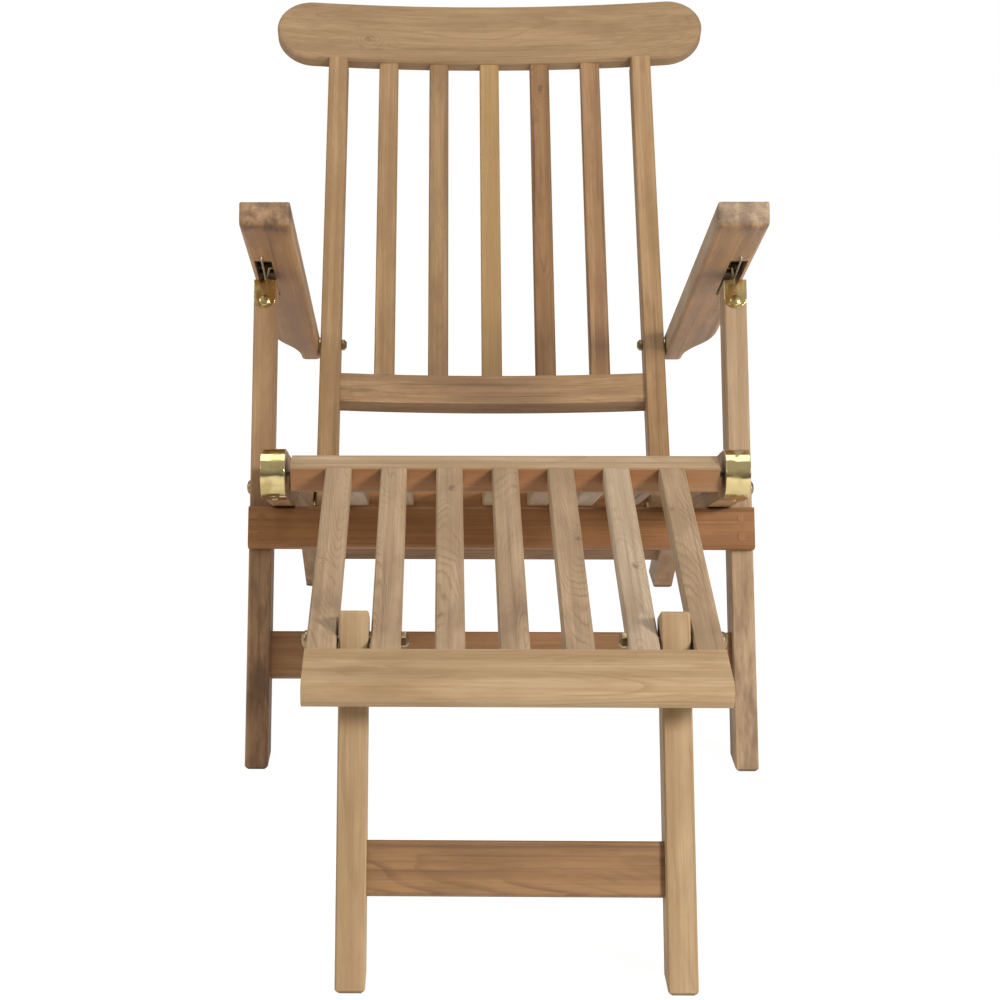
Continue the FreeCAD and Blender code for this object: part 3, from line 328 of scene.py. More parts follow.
def new_material(name: str) -> tuple[bpy.types.Material, Shader]:
    """Make an empty node material.

    Args:
        name: The material's name.

    Returns:
        The material and a shader helper on its tree.
    """
    material = bpy.data.materials.new(name)
    material.use_nodes = True
    material.node_tree.nodes.clear()
    return material, Shader(material.node_tree)


class NodeGroup:
    """A shader group that is built once and used by many materials."""

    name = ""
    inputs: tuple[str, ...] = ()
    outputs: tuple[str, ...] = ()

    def __init__(self) -> None:
        """Build the group; every input but the vector Place is a number, and so is every output."""
        self.tree = bpy.data.node_groups.new(self.name, "ShaderNodeTree")
        self.tree.interface.new_socket(name="Place", in_out="INPUT", socket_type="NodeSocketVector")
        for name in self.inputs:
            self.tree.interface.new_socket(name=name, in_out="INPUT", socket_type="NodeSocketFloat")
        for name in self.outputs:
            self.tree.interface.new_socket(name=name, in_out="OUTPUT", socket_type="NodeSocketFloat")
        shader = Shader(self.tree)
        entry = shader.add("NodeGroupInput")
        leave = shader.add("NodeGroupOutput")
        made = self.build(shader, {socket.name: socket for socket in entry.outputs})
        for name, socket in made.items():
            self.tree.links.new(socket, leave.inputs[name])

    def build(self, shader: Shader, given: dict[str, Socket]) -> dict[str, Socket]:
        """Fill the group.

        Args:
            shader: Helper on the group's tree.
            given: The group's inputs by name.

        Returns:
            The sockets to give out, by name.
        """
        raise NotImplementedError

    def use(self, shader: Shader, **values: float | Socket) -> bpy.types.NodeOutputs:
        """Add the group to a material.

        Args:
            shader: Helper on the material's tree.
            **values: Input name, with _ for spaces, to a number or a socket.

        Returns:
            The group's outputs.
        """
        named = {name.replace("_", " "): value for name, value in values.items()}
        return shader.add("ShaderNodeGroup", named, node_tree=self.tree).outputs


class RingGroup(NodeGroup):
    """Growth rings: thin lines round a slanting centre, wavy and bent by a knot."""

    name = "teak_rings"
    inputs = ("Ring Gap", "Arch", "Depth", "Drift", "Knot Along", "Knot Across", "Knot Size", "Seed")
    outputs = ("Rings", "Knot")

    def build(self, shader: Shader, given: dict[str, Socket]) -> dict[str, Socket]:
        """Lay out the rings and the knot's dark heart.

        Args:
            shader: Helper on the group's tree.
            given: The group's inputs by name.

        Returns:
            The rings and the knot.
        """
        place = given["Place"]
        seeded = shader.seeded(place, given["Seed"])
        lengthways, sideways, out = shader.add("ShaderNodeSeparateXYZ", {0: place}).outputs
        ragged = shader.noise(seeded, (90.0, 160.0, 160.0), 2.0)
        knot = self.knot(shader, given, lengthways, sideways, self.centred(shader, ragged, 0.004))
        sway = self.centred(shader, shader.noise(seeded, (3.0, 14.0, 14.0), 2.0), 0.030)
        ripple = self.centred(shader, shader.noise(seeded, (10.0, 60.0, 60.0), 3.0), 0.0045)
        swirl = shader.maths("MULTIPLY", knot, shader.maths("MULTIPLY", given["Knot Size"], 1.3))
        slant = shader.maths("MULTIPLY", lengthways, given["Arch"])
        side = shader.total(sideways, shader.maths("MULTIPLY", given["Drift"], -1.0), ripple)
        under = shader.total(out, given["Depth"], sway, slant)
        square = shader.total(shader.maths("MULTIPLY", side, side), shader.maths("MULTIPLY", under, under))
        reach = shader.total(shader.maths("SQRT", square), ripple, swirl)
        count = shader.maths("DIVIDE", reach, given["Ring Gap"])
        turn = shader.maths("FRACT", count)
        line = shader.maths("MULTIPLY", shader.ramp(turn, 0.45, 0.90), shader.ramp(turn, 1.0, 0.92))
        own = shader.add("ShaderNodeTexWhiteNoise", {"W": shader.maths("FLOOR", count)},
                         noise_dimensions="1D").outputs["Value"]
        strength = shader.total(shader.maths("MULTIPLY", own, 0.7), 0.3)
        fade = shader.total(shader.ramp(shader.noise(seeded, (7.0, 40.0, 40.0), 1.0), 0.38, 0.60), knot)
        darkening = shader.maths("MULTIPLY", shader.ramp(knot, 0.82, 0.99), shader.ramp(ragged, 0.40, 0.52))
        shown = shader.maths("MULTIPLY", shader.maths("MULTIPLY", line, strength), fade)
        return {"Rings": shown, "Knot": darkening}

    @staticmethod
    def centred(shader: Shader, value: Socket, width: float) -> Socket:
        """Turn noise round 0.5 into a shift of this full width round 0."""
        return shader.maths("MULTIPLY", shader.maths("SUBTRACT", value, 0.5), width)

    @staticmethod
    def knot(shader: Shader, given: dict[str, Socket], lengthways: Socket, sideways: Socket,
             ragged: Socket) -> Socket:
        """Work out how close a place is to the knot.

        Args:
            shader: Helper on the group's tree.
            given: The group's inputs by name.
            lengthways: Place along the board.
            sideways: Place across the board.
            ragged: Shift that roughens the knot's outline.

        Returns:
            The nearness, from 0 to 1.
        """
        step = shader.maths("MULTIPLY", shader.maths("SUBTRACT", lengthways, given["Knot Along"]), 0.55)
        aside = shader.total(shader.maths("SUBTRACT", sideways, given["Knot Across"]), ragged)
        square = shader.total(shader.maths("MULTIPLY", step, step), shader.maths("MULTIPLY", aside, aside))
        size = shader.total(shader.maths("MULTIPLY", given["Knot Size"], given["Knot Size"]), 1e-9)
        return shader.fall_off(shader.maths("DIVIDE", square, size))


class FibreGroup(NodeGroup):
    """What runs with the grain: fibres, pores, long bands and mineral streaks, and cloudy patches."""

    name = "teak_fibres"
    inputs = ("Seed", "Stain Along", "Stain Reach")
    outputs = ("Fibres", "Pores", "Bands", "Streaks", "Blotches", "Stain")

    def build(self, shader: Shader, given: dict[str, Socket]) -> dict[str, Socket]:
        """Lay out noises drawn out along the board.

        Args:
            shader: Helper on the group's tree.
            given: The group's inputs by name.

        Returns:
            The six masks.
        """
        place = shader.seeded(given["Place"], given["Seed"])
        lengthways = shader.add("ShaderNodeSeparateXYZ", {0: given["Place"]}).outputs[0]
        from_stain = shader.maths("SUBTRACT", lengthways, given["Stain Along"])
        step = shader.maths("DIVIDE", from_stain, given["Stain Reach"])
        near = shader.fall_off(shader.maths("MULTIPLY", step, step))
        mottle = shader.ramp(shader.noise(place, (15.0, 55.0, 55.0), 3.0), 0.36, 0.66)
        return {
            "Stain": shader.maths("MULTIPLY", near, mottle),
            "Fibres": shader.noise(place, (6.0, 480.0, 480.0), 3.0),
            "Pores": shader.ramp(shader.noise(place, (38.0, 1500.0, 1500.0), 1.0), 0.60, 0.72),
            "Bands": shader.ramp(shader.noise(place, (1.4, 75.0, 75.0), 4.0), 0.38, 0.62),
            "Streaks": shader.ramp(shader.noise(place, (1.8, 130.0, 130.0), 2.5), 0.57, 0.70),
            "Blotches": shader.ramp(shader.noise(place, (7.0, 26.0, 26.0), 4.0), 0.40, 0.62),
        }


class SmudgeGroup(NodeGroup):
    """Handling marks on metal: cloudy tarnish and fine scratches."""

    name = "metal_smudges"
    inputs = ("Patches",)
    outputs = ("Tarnish", "Scratches", "Waves")

    def build(self, shader: Shader, given: dict[str, Socket]) -> dict[str, Socket]:
        """Lay out the tarnish, the scratches and the uneven polish.

        Args:
            shader: Helper on the group's tree.
            given: The group's inputs by name.

        Returns:
            The three masks.
        """
        values = {"Vector": given["Place"], "Scale": given["Patches"], "Detail": 4.0}
        clouds = shader.add("ShaderNodeTexNoise", values)
        return {
            "Tarnish": shader.ramp(clouds.outputs["Fac"], 0.46, 0.70),
            "Scratches": shader.noise(given["Place"], (160.0, 1400.0, 1400.0), 1.0),
            "Waves": shader.noise(given["Place"], (75.0, 60.0, 60.0), 0.5),
        }


class Joiner:
    """Makes one teak material for each board."""

    def __init__(self) -> None:
        """Build the shared groups."""
        self.rings = RingGroup()
        self.fibres = FibreGroup()

    def material(self, name: str, cut: Cut, low: Vector, high: Vector, seed: int) -> bpy.types.Material:
        """Make a board's material.

        Args:
            name: The material's name.
            cut: How the board is sawn.
            low: Lowest corner of the board.
            high: Highest corner of the board.
            seed: Number that sets this board's own pattern.

        Returns:
            The material.
        """
        chance = random.Random(seed)
        material, shader = new_material(name)
        place = self.board_place(shader, cut, (low + high) / 2.0)
        lies_along = (high.y - low.y) / math.cos(math.radians(cut.slope))
        length = high.x - low.x if cut.run is Run.ACROSS else lies_along
        start = chance.uniform(0.0, 40.0)
        rings = self.rings.use(
            shader, Place=place, Ring_Gap=cut.ring_gap * chance.uniform(0.85, 1.2),
            Arch=cut.arch * chance.choice((-1.0, 1.0)), Depth=cut.depth * chance.uniform(0.8, 1.2),
            Drift=chance.uniform(-0.014, 0.014), Knot_Along=cut.knot.lengthways,
            Knot_Across=cut.knot.sideways, Knot_Size=cut.knot.size, Seed=start)
        fibres = self.fibres.use(
            shader, Place=place, Seed=start, Stain_Along=cut.stain.from_end - length / 2.0,
            Stain_Reach=cut.stain.reach)
        self.finish(shader, rings, fibres, cut)
        return material

    @staticmethod
    def board_place(shader: Shader, cut: Cut, centre: Vector) -> Socket:
        """Coordinates of a board: X along it, Z out of its face, from its middle.

        Args:
            shader: Helper on the material's tree.
            cut: How the board is sawn.
            centre: Middle of the board.

        Returns:
            The coordinates' socket.
        """
        side = Vector((1.0, 0.0, 0.0))
        slope = along(cut.slope)
        length, width = (slope, side) if cut.run is Run.ALONG else (side, slope)
        turn = Matrix((length, width, length.cross(width))).transposed().to_euler("XYZ")
        place = shader.add("ShaderNodeTexCoord").outputs["Object"]
        values = {"Vector": place, "Location": tuple(centre), "Rotation": tuple(turn)}
        return shader.add("ShaderNodeMapping", values, vector_type="TEXTURE").outputs[0]

    @staticmethod
    def finish(shader: Shader, rings: bpy.types.NodeOutputs, fibres: bpy.types.NodeOutputs,
               cut: Cut) -> None:
        """Turn the masks into colour, roughness and relief; the colour holds painted shade on turned-away
        faces and in recesses.

        Args:
            shader: Helper on the material's tree.
            rings: Outputs of the ring group.
            fibres: Outputs of the fibre group.
            cut: How the board is sawn.
        """
        teak = cut.tone.value
        light, dark, streak = linear(teak.light), linear(teak.dark), linear(teak.streak)
        # Painted shade: faces turned away from the upper face take a darker colour.
        if cut.darkening.amount:
            normal = shader.add("ShaderNodeTexCoord").outputs["Normal"]
            facing = shader.add("ShaderNodeVectorMath", {0: normal, 1: tuple(upright(cut.slope))},
                                operation="DOT_PRODUCT").outputs["Value"]
            away = shader.ramp(facing, cut.darkening.facing, cut.darkening.facing - 0.35)
            share = shader.maths("MULTIPLY", away, cut.darkening.amount)
            light = shader.blend(share, light, linear(cut.darkening.colour))
        base = shader.blend(shader.maths("MULTIPLY", fibres["Bands"], teak.bands), light, dark)
        base = shader.blend(shader.maths("MULTIPLY", rings["Rings"], teak.rings), base, dark)
        base = shader.blend(shader.maths("MULTIPLY", fibres["Blotches"], teak.blotches), base, dark)
        thread = shader.maths("MULTIPLY", shader.ramp(fibres["Fibres"], 0.36, 0.70), 0.34)
        base = shader.blend(thread, base, dark)
        base = shader.blend(shader.maths("MULTIPLY", fibres["Streaks"], teak.streaks), base, streak)
        base = shader.blend(shader.maths("MULTIPLY", fibres["Pores"], 0.22), base, streak)
        base = shader.blend(shader.maths("MULTIPLY", rings["Knot"], 0.55), base, streak)
        base = shader.blend(shader.maths("MULTIPLY", fibres["Stain"], cut.stain.amount), base, streak)
        # Painted shade: ambient occlusion darkens slots, corners and joints towards the recess shade
        # colour.
        shade = shader.add("ShaderNodeAmbientOcclusion", {"Distance": cut.recess}, samples=4)
        recess_shade = shader.ramp(shade.outputs["AO"], 0.50, 0.05)
        base = shader.blend(shader.maths("MULTIPLY", recess_shade, 0.80), base, linear(RECESS_SHADE))
        rough = shader.total(shader.maths("MULTIPLY", fibres["Fibres"], 0.14), 0.50)
        relief = shader.maths("SUBTRACT", shader.maths("MULTIPLY", fibres["Fibres"], 0.5), fibres["Pores"])
        bump = shader.add("ShaderNodeBump", {"Height": relief, "Strength": 0.22, "Distance": 0.0004})
        shader.surface(Base_Color=base, Roughness=rough, Normal=bump.outputs[0], Specular_IOR_Level=0.35)


@dataclass(frozen=True)
class MetalFinish:
    """Looks of one metal.

    Args:
        colour: Colour as seen.
        tarnish: Colour of tarnished patches, as seen.
        amount: How strongly the tarnish shows.
        roughness: Roughness of the clean metal.
        patches: Tarnished patches per metre.
        waves: Depth of the uneven polish.
    """

    colour: Colour
    tarnish: Colour
    amount: float
    roughness: float
    patches: float
    waves: float = 0.0001


class Metal(Enum):
    """The chair's metals."""

    BRASS = MetalFinish((214, 194, 138), (160, 132, 76), 0.40, 0.13, 60.0, 0.0012)
    FASTENER = MetalFinish((206, 186, 130), (128, 102, 60), 0.45, 0.20, 120.0)
    DULL_BRASS = MetalFinish((150, 130, 96), (84, 68, 46), 0.60, 0.36, 140.0)
    DARK_STEEL = MetalFinish((78, 69, 57), (50, 42, 33), 0.50, 0.34, 120.0)
    WIRE = MetalFinish((190, 180, 160), (130, 116, 92), 0.25, 0.28, 30.0)


class Smith:
    """Makes one material for each metal."""

    def __init__(self) -> None:
        """Build the shared group and the metals."""
        self.smudges = SmudgeGroup()
        self.materials = {metal: self.material(metal) for metal in Metal}

    def material(self, metal: Metal) -> bpy.types.Material:
        """Make a metal's material.

        Args:
            metal: The metal.

        Returns:
            Its material.
        """
        finish = metal.value
        material, shader = new_material(metal.name.lower())
        place = shader.add("ShaderNodeTexCoord").outputs["Object"]
        smudges = self.smudges.use(shader, Place=place, Patches=finish.patches)
        mask = shader.maths("MULTIPLY", smudges["Tarnish"], finish.amount)
        base = shader.blend(mask, linear(finish.colour), linear(finish.tarnish))
        rough = shader.total(shader.maths("MULTIPLY", mask, 0.30), finish.roughness)
        edges = shader.add("ShaderNodeBevel", {"Radius": 0.0012}, samples=4).outputs[0]
        waves = shader.add("ShaderNodeBump", {
            "Height": smudges["Waves"], "Strength": 1.0, "Distance": finish.waves, "Normal": edges})
        bump = shader.add("ShaderNodeBump", {
            "Height": smudges["Scratches"], "Strength": 0.03, "Distance": 0.0002,
            "Normal": waves.outputs[0]})
        shader.surface(Base_Color=base, Roughness=rough, Metallic=1.0, Normal=bump.outputs[0])
        return material


class Workshop:
    """Dresses the chair's nodes and stands new pieces in for some of them."""

    def __init__(self) -> None:
        """Set up the joiner and the smith."""
        self.joiner = Joiner()
        self.smith = Smith()
        self.boards = 0

    def board(self, node: str, cut: Cut) -> None:
        """Give a board its own teak.

        Args:
            node: The board's node.
            cut: How it is sawn.
        """
        self.boards += 1
        low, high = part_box(node)
        material = self.joiner.material(f"teak_{node}", cut, low, high, self.boards)
        self.assign(bpy.data.objects[node], material)
        LOG.info("board %s: %s", node, cut.tone.name.lower())

    def metal(self, node: str, metal: Metal) -> None:
        """Give a fitting its metal."""
        self.assign(bpy.data.objects[node], self.smith.materials[metal])
        LOG.info("fitting %s: %s", node, metal.name.lower())

    def stand_in(self, piece: bpy.types.Object, node: str, body: str, metal: Metal) -> None:
        """Let a new piece stand for a node.

        Args:
            piece: The new piece, in place.
            node: The node that it stands for.
            body: The body that it rides on.
            metal: Its metal.
        """
        self.assign(piece, self.smith.materials[metal])
        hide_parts(node)
        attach(piece, body)
        LOG.info("piece %s stands for %s", piece.name, node)

    @staticmethod
    def assign(piece: bpy.types.Object, material: bpy.types.Material) -> None:
        """Put a material on every slot of an object.

        Args:
            piece: The object.
            material: Its material.
        """
        if not piece.material_slots:
            piece.data.materials.append(material)
        for slot in piece.material_slots:
            slot.material = material


def solids_of(node: str) -> list[tuple[Vector, Vector]]:
    """Find the separate solids of a node.

    Args:
        node: The node.

    Returns:
        The lowest and highest corner of each solid, from left to right.
    """
    mesh = bpy.data.objects[node].data
    corner_of = [tuple(round(value, 5) for value in vertex.co) for vertex in mesh.vertices]
    group = {corner: corner for corner in corner_of}

    def head(corner: Colour) -> Colour:
        """Find the corner that stands for a corner's solid.

        Args:
            corner: Any corner.

        Returns:
            The solid's own corner.
        """
        while group[corner] != corner:
            corner = group[corner]
        return corner

    for polygon in mesh.polygons:
        first = head(corner_of[polygon.vertices[0]])
        for index in polygon.vertices:
            group[head(corner_of[index])] = first
    parts: dict[Colour, list[Colour]] = {}
    for corner in group:
        parts.setdefault(head(corner), []).append(corner)
    boxes = [(Vector(map(min, *corners)), Vector(map(max, *corners))) for corners in parts.values()]
    return sorted(boxes, key=lambda corners: (corners[0].x, corners[0].y, corners[0].z))


class Lathe:
    """Builds one mesh out of turned shapes."""

    sides = 40

    def __init__(self) -> None:
        """Start with no points."""
        self.points: list[Vector] = []
        self.faces: list[tuple[int, ...]] = []

    def turn(self, start: Vector, axis: Vector, profile: list[tuple[float, float]]) -> None:
        """Add a profile turned round an axis; its first and last radius are closed.

        Args:
            start: Where the profile's distance 0 lies.
            axis: Direction of the axis.
            profile: Radius and distance along the axis, from one end to the other.
        """
        across = axis.orthogonal().normalized()
        other = axis.cross(across).normalized()
        base = len(self.points)
        for radius, distance in profile:
            for side in range(self.sides):
                angle = 2.0 * math.pi * side / self.sides
                self.points.append(start + axis * distance
                                   + (across * math.cos(angle) + other * math.sin(angle)) * radius)
        for ring in range(len(profile) - 1):
            for side in range(self.sides):
                a = base + ring * self.sides + side
                b = base + ring * self.sides + (side + 1) % self.sides
                self.faces.append((a, b, b + self.sides, a + self.sides))
        last = base + (len(profile) - 1) * self.sides
        self.faces.append(tuple(range(base + self.sides - 1, base - 1, -1)))
        self.faces.append(tuple(range(last, last + self.sides)))

    def piece(self, name: str) -> bpy.types.Object:
        """Make the object, smooth where its profile bends gently.

        Args:
            name: The object's name.

        Returns:
            The object.
        """
        mesh = bpy.data.meshes.new(name)
        mesh.from_pydata(self.points, [], self.faces)
        piece = bpy.data.objects.new(name, mesh)
        bpy.context.scene.collection.objects.link(piece)
        mesh.shade_smooth()
        mesh.set_sharp_from_angle(angle=math.radians(38.0))
        return piece


def dome(radius: float, height: float, steps: int = 6) -> list[tuple[float, float]]:
    """Profile of a domed head from its rim to its crown.

    Args:
        radius: Radius at the rim.
        height: Height of the crown.
        steps: Number of steps up the dome.

    Returns:
        Radius and distance of each step.
    """
    turns = [math.pi / 2.0 * step / steps for step in range(steps + 1)]
    return [(max(radius * math.cos(turn), 0.0002), height * math.sin(turn)) for turn in turns]


@dataclass
class PivotHardware:
    """Bolts and cap nuts of a set of pivots, turned with domed heads.

    Args:
        bolts: Node of the bolts.
        nuts: Node of the cap nuts.
        body: Body that they ride on.
        metal: Their metal.
        shank: Radius of the bolts' shanks.
        head_height: Height of the heads.
        head_rim: Height of the heads' straight rim.
    """

    bolts: str
    nuts: str
    body: str
    metal: Metal = Metal.FASTENER
    shank: float = 0.004
    head_height: float = 0.0055
    head_rim: float = 0.0014

    def build(self, shop: Workshop) -> None:
        """Turn the bolts, and finish the nuts as the solids have them.

        Args:
            shop: The workshop that dresses the pieces.
        """
        lathe = Lathe()
        for low, high in solids_of(self.bolts):
            self.turn_bolt(lathe, low, high)
        turned = lathe.piece(f"turned_{self.bolts}")
        shop.stand_in(turned, self.bolts, self.body, self.metal)
        shop.metal(self.nuts, self.metal)

    def turn_bolt(self, lathe: Lathe, low: Vector, high: Vector) -> None:
        """Turn one bolt inside its solid's box; its head is on the outer side.

        Args:
            lathe: The lathe.
            low: Lowest corner of the bolt.
            high: Highest corner of the bolt.
        """
        outward = 1.0 if high.x > 0.0 else -1.0
        tip = low.x if outward > 0.0 else high.x
        middle = (low + high) / 2.0
        length = high.x - low.x
        radius = (high.z - low.z) / 2.0
        crown = self.head_height - self.head_rim
        seat = length - self.head_height
        rim = length - crown
        profile = [(self.shank, 0.0), (self.shank, seat), (radius, seat), (radius, rim)]
        profile += [(size, rim + rise) for size, rise in dome(radius, crown)[1:]]
        lathe.turn(Vector((tip, middle.y, middle.z)), Vector((outward, 0.0, 0.0)), profile)


@dataclass
class SeatFrame:
    """Side rails, seat slats and cross rails, with their brass.

    Args:
        slope: Slope of the seat.
        slats: Planks of the slats, from left to right.
    """

    slope: float = SEAT_SLOPE
    slats: tuple[Tone, ...] = (
        Tone.SAND, Tone.HONEY, Tone.SAND, Tone.OLIVE, Tone.HONEY, Tone.SAND, Tone.ROSY)

    def build(self, shop: Workshop) -> None:
        """Dress the seat frame's nodes.

        Args:
            shop: The workshop that dresses the pieces.
        """
        for side in ("left", "right"):
            shop.board(f"side_rail_{side}", Cut(Tone.TAWNY, Run.ALONG, self.slope))
            shop.metal(f"hinge_strap_{side}", Metal.BRASS)
        shop.board("seat_cross_rail_front", Cut(Tone.ROSY, Run.ACROSS, self.slope))
        shop.board("seat_cross_rail_rear", Cut(Tone.RUSSET, Run.ACROSS, self.slope))
        shop.board("rear_stretcher", Cut(Tone.BARK, Run.ACROSS, REAR_LEG_SLOPE))
        for index, tone in enumerate(self.slats):
            shop.board(f"seat_slat_{index + 1}", Cut(tone, Run.ALONG, self.slope))
        shop.metal("strap_screws", Metal.FASTENER)
        shop.metal("frame_washers", Metal.FASTENER)
        PivotHardware("frame_pivot_bolts", "frame_cap_nuts", "seat_frame", Metal.DULL_BRASS).build(shop)


@dataclass
class LegFrame:
    """Front legs, apron and stretcher, with the catch brackets.

    Args:
        slope: Slope of the legs.
        screw_height: Height of the brackets' screw heads.
        screw_rim: Share of that height that is straight rim.
    """

    slope: float = FRONT_LEG_SLOPE
    screw_height: float = 0.0026
    screw_rim: float = 0.2

    def build(self, shop: Workshop) -> None:
        """Dress the leg frame's nodes.

        Args:
            shop: The workshop that dresses the pieces.
        """
        # Painted shadow: the stain darkens the lower legs, where the footrest's shadow falls.
        for side, tone, dark in (("left", Tone.TAWNY, 0.75), ("right", Tone.STRAW, 0.70)):
            stain = Stain(0.12, 0.20, dark)
            shop.board(f"front_leg_{side}", Cut(tone, Run.ALONG, self.slope, stain=stain))
        for side in ("left", "right"):
            shop.metal(f"catch_bracket_{side}", Metal.BRASS)
        for node, tone in (("front_apron", Tone.RUSSET), ("leg_stretcher", Tone.COCOA)):
            shop.board(node, Cut(tone, Run.ACROSS, self.slope, ring_gap=0.003, arch=0.01, depth=0.03))
        shop.board("apron_plugs", Cut(Tone.RUSSET, Run.ALONG, self.slope, ring_gap=0.002, arch=0.0))
        self.turn_screws(shop)

    def turn_screws(self, shop: Workshop) -> None:
        """Turn the brackets' screws with domed heads.

        Args:
            shop: The workshop that dresses the pieces.
        """
        lathe = Lathe()
        out = upright(self.slope)
        bracket_low, bracket_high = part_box("catch_bracket_left")
        bracket_middle = (bracket_low.y + bracket_high.y) / 2.0
        rim = self.screw_rim * self.screw_height
        crown = self.screw_height - rim
        for low, high in solids_of("bracket_screws"):
            middle = (low + high) / 2.0
            axis = out if middle.y < bracket_middle else -out
            radius = (high.x - low.x) / 2.0
            profile = [(radius, 0.0), (radius, rim)]
            profile += [(size, rim + rise) for size, rise in dome(radius, crown)[1:]]
            lathe.turn(middle - axis * self.screw_height / 2.0, axis, profile)
        turned = lathe.piece("turned_bracket_screws")
        shop.stand_in(turned, "bracket_screws", "leg_frame", Metal.FASTENER)


@dataclass
class BackFrame:
    """Stiles, slats, lower rail and headrest.

    Args:
        slope: Slope of the back.
        slats: Planks of the slats, from left to right.
        knots: Knots of the slats.
    """

    slope: float = BACK_SLOPE
    slats: tuple[Tone, ...] = (Tone.HONEY, Tone.NUT, Tone.OLIVE, Tone.UMBER, Tone.ROSY)
    knots: tuple[Knot, ...] = (Knot(), Knot(), Knot(), Knot(0.215, 0.002, 0.013), Knot())

    def build(self, shop: Workshop) -> None:
        """Dress the back frame's nodes.

        Args:
            shop: The workshop that dresses the pieces.
        """
        shop.board("headrest", Cut(
            Tone.WHEAT, Run.ACROSS, self.slope, ring_gap=0.0032, arch=0.02, depth=0.09,
            knot=Knot(-0.175, -0.012, 0.013)))
        for side in ("left", "right"):
            shop.board(f"back_stile_{side}", Cut(Tone.HONEY, Run.ALONG, self.slope))
        for index, (tone, knot) in enumerate(zip(self.slats, self.knots)):
            shop.board(f"back_slat_{index + 1}", Cut(tone, Run.ALONG, self.slope, knot=knot))
        shop.board("back_lower_rail", Cut(Tone.TAWNY, Run.ACROSS, self.slope))
        shop.metal("arm_washers", Metal.FASTENER)
        PivotHardware("arm_pivot_bolts", "arm_cap_nuts", "back_frame", Metal.DULL_BRASS).build(shop)


@dataclass
class Armrest:
    """One armrest with its catch pins and its wire clip.

    Args:
        side: Left or right.
        tone: The armrest's plank.
        darkening: Painted shade on its underside, darker and warmer.
        stain: How dark the marks of hands on its front end are.
        slope: Slope of the armrest.
        wire: Radius of the clip's wire.
        hole_depth: How deep the clip's end sits in the armrest.
        spread: How far the clip's second leg spreads inwards at its top.
        bend: Length of the bend at the hole's mouth.
        return_reach: How far the second leg comes forward again.
        return_rise: How far the second leg rises on its way.
    """

    side: str
    tone: Tone
    darkening: AwayShade
    stain: float
    slope: float = ARM_SLOPE
    wire: float = 0.0011
    hole_depth: float = 0.009
    spread: float = 0.0065
    bend: float = 0.004
    return_reach: float = 0.040
    return_rise: float = 0.003

    def build(self, shop: Workshop) -> None:
        """Dress the armrest's nodes.

        Args:
            shop: The workshop that dresses the pieces.
        """
        # The armrest's slot gets painted shade that reaches deeper than on other boards.
        shop.board(f"armrest_{self.side}", Cut(
            self.tone, Run.ALONG, self.slope, ring_gap=0.0030, arch=0.03,
            stain=Stain(0.014, 0.020, self.stain), darkening=self.darkening, recess=0.032))
        shop.metal(f"catch_pins_{self.side}", Metal.DARK_STEEL)
        self.bend_clip(shop)

    def bend_clip(self, shop: Workshop) -> None:
        """Bend the wire clip: out of its hole, back to the bracket's cap and forward again.

        Args:
            shop: The workshop that dresses the pieces.
        """
        node = f"wire_clip_{self.side}"
        low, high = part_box(node)
        x = (low.x + high.x) / 2.0
        inward = -1.0 if x > 0.0 else 1.0
        hole = Vector((x, low.y + self.wire, high.z - self.wire))
        mouth = hole - upright(self.slope) * self.hole_depth
        eye = Vector((x, high.y - self.wire, low.z + self.wire))
        aside = Vector((inward * self.spread, 0.0, 0.0))
        rise = upright(self.slope) * self.return_rise
        back = aside - along(self.slope) * self.return_reach + rise
        curve = bpy.data.curves.new(f"bent_{node}", "CURVE")
        curve.dimensions = "3D"
        curve.bevel_depth = self.wire
        curve.bevel_resolution = 4
        curve.use_fill_caps = True
        spline = curve.splines.new("NURBS")
        turned = mouth + along(self.slope) * self.bend
        points = [hole, mouth, turned, eye, eye, eye + back * 0.5, eye + back]
        spline.points.add(len(points) - 1)
        for point, place in zip(spline.points, points):
            point.co = (*place, 1.0)
        spline.order_u = 3
        spline.use_endpoint_u = True
        piece = bpy.data.objects.new(f"bent_{node}", curve)
        bpy.context.scene.collection.objects.link(piece)
        shop.stand_in(piece, node, f"arm_{self.side}", Metal.WIRE)


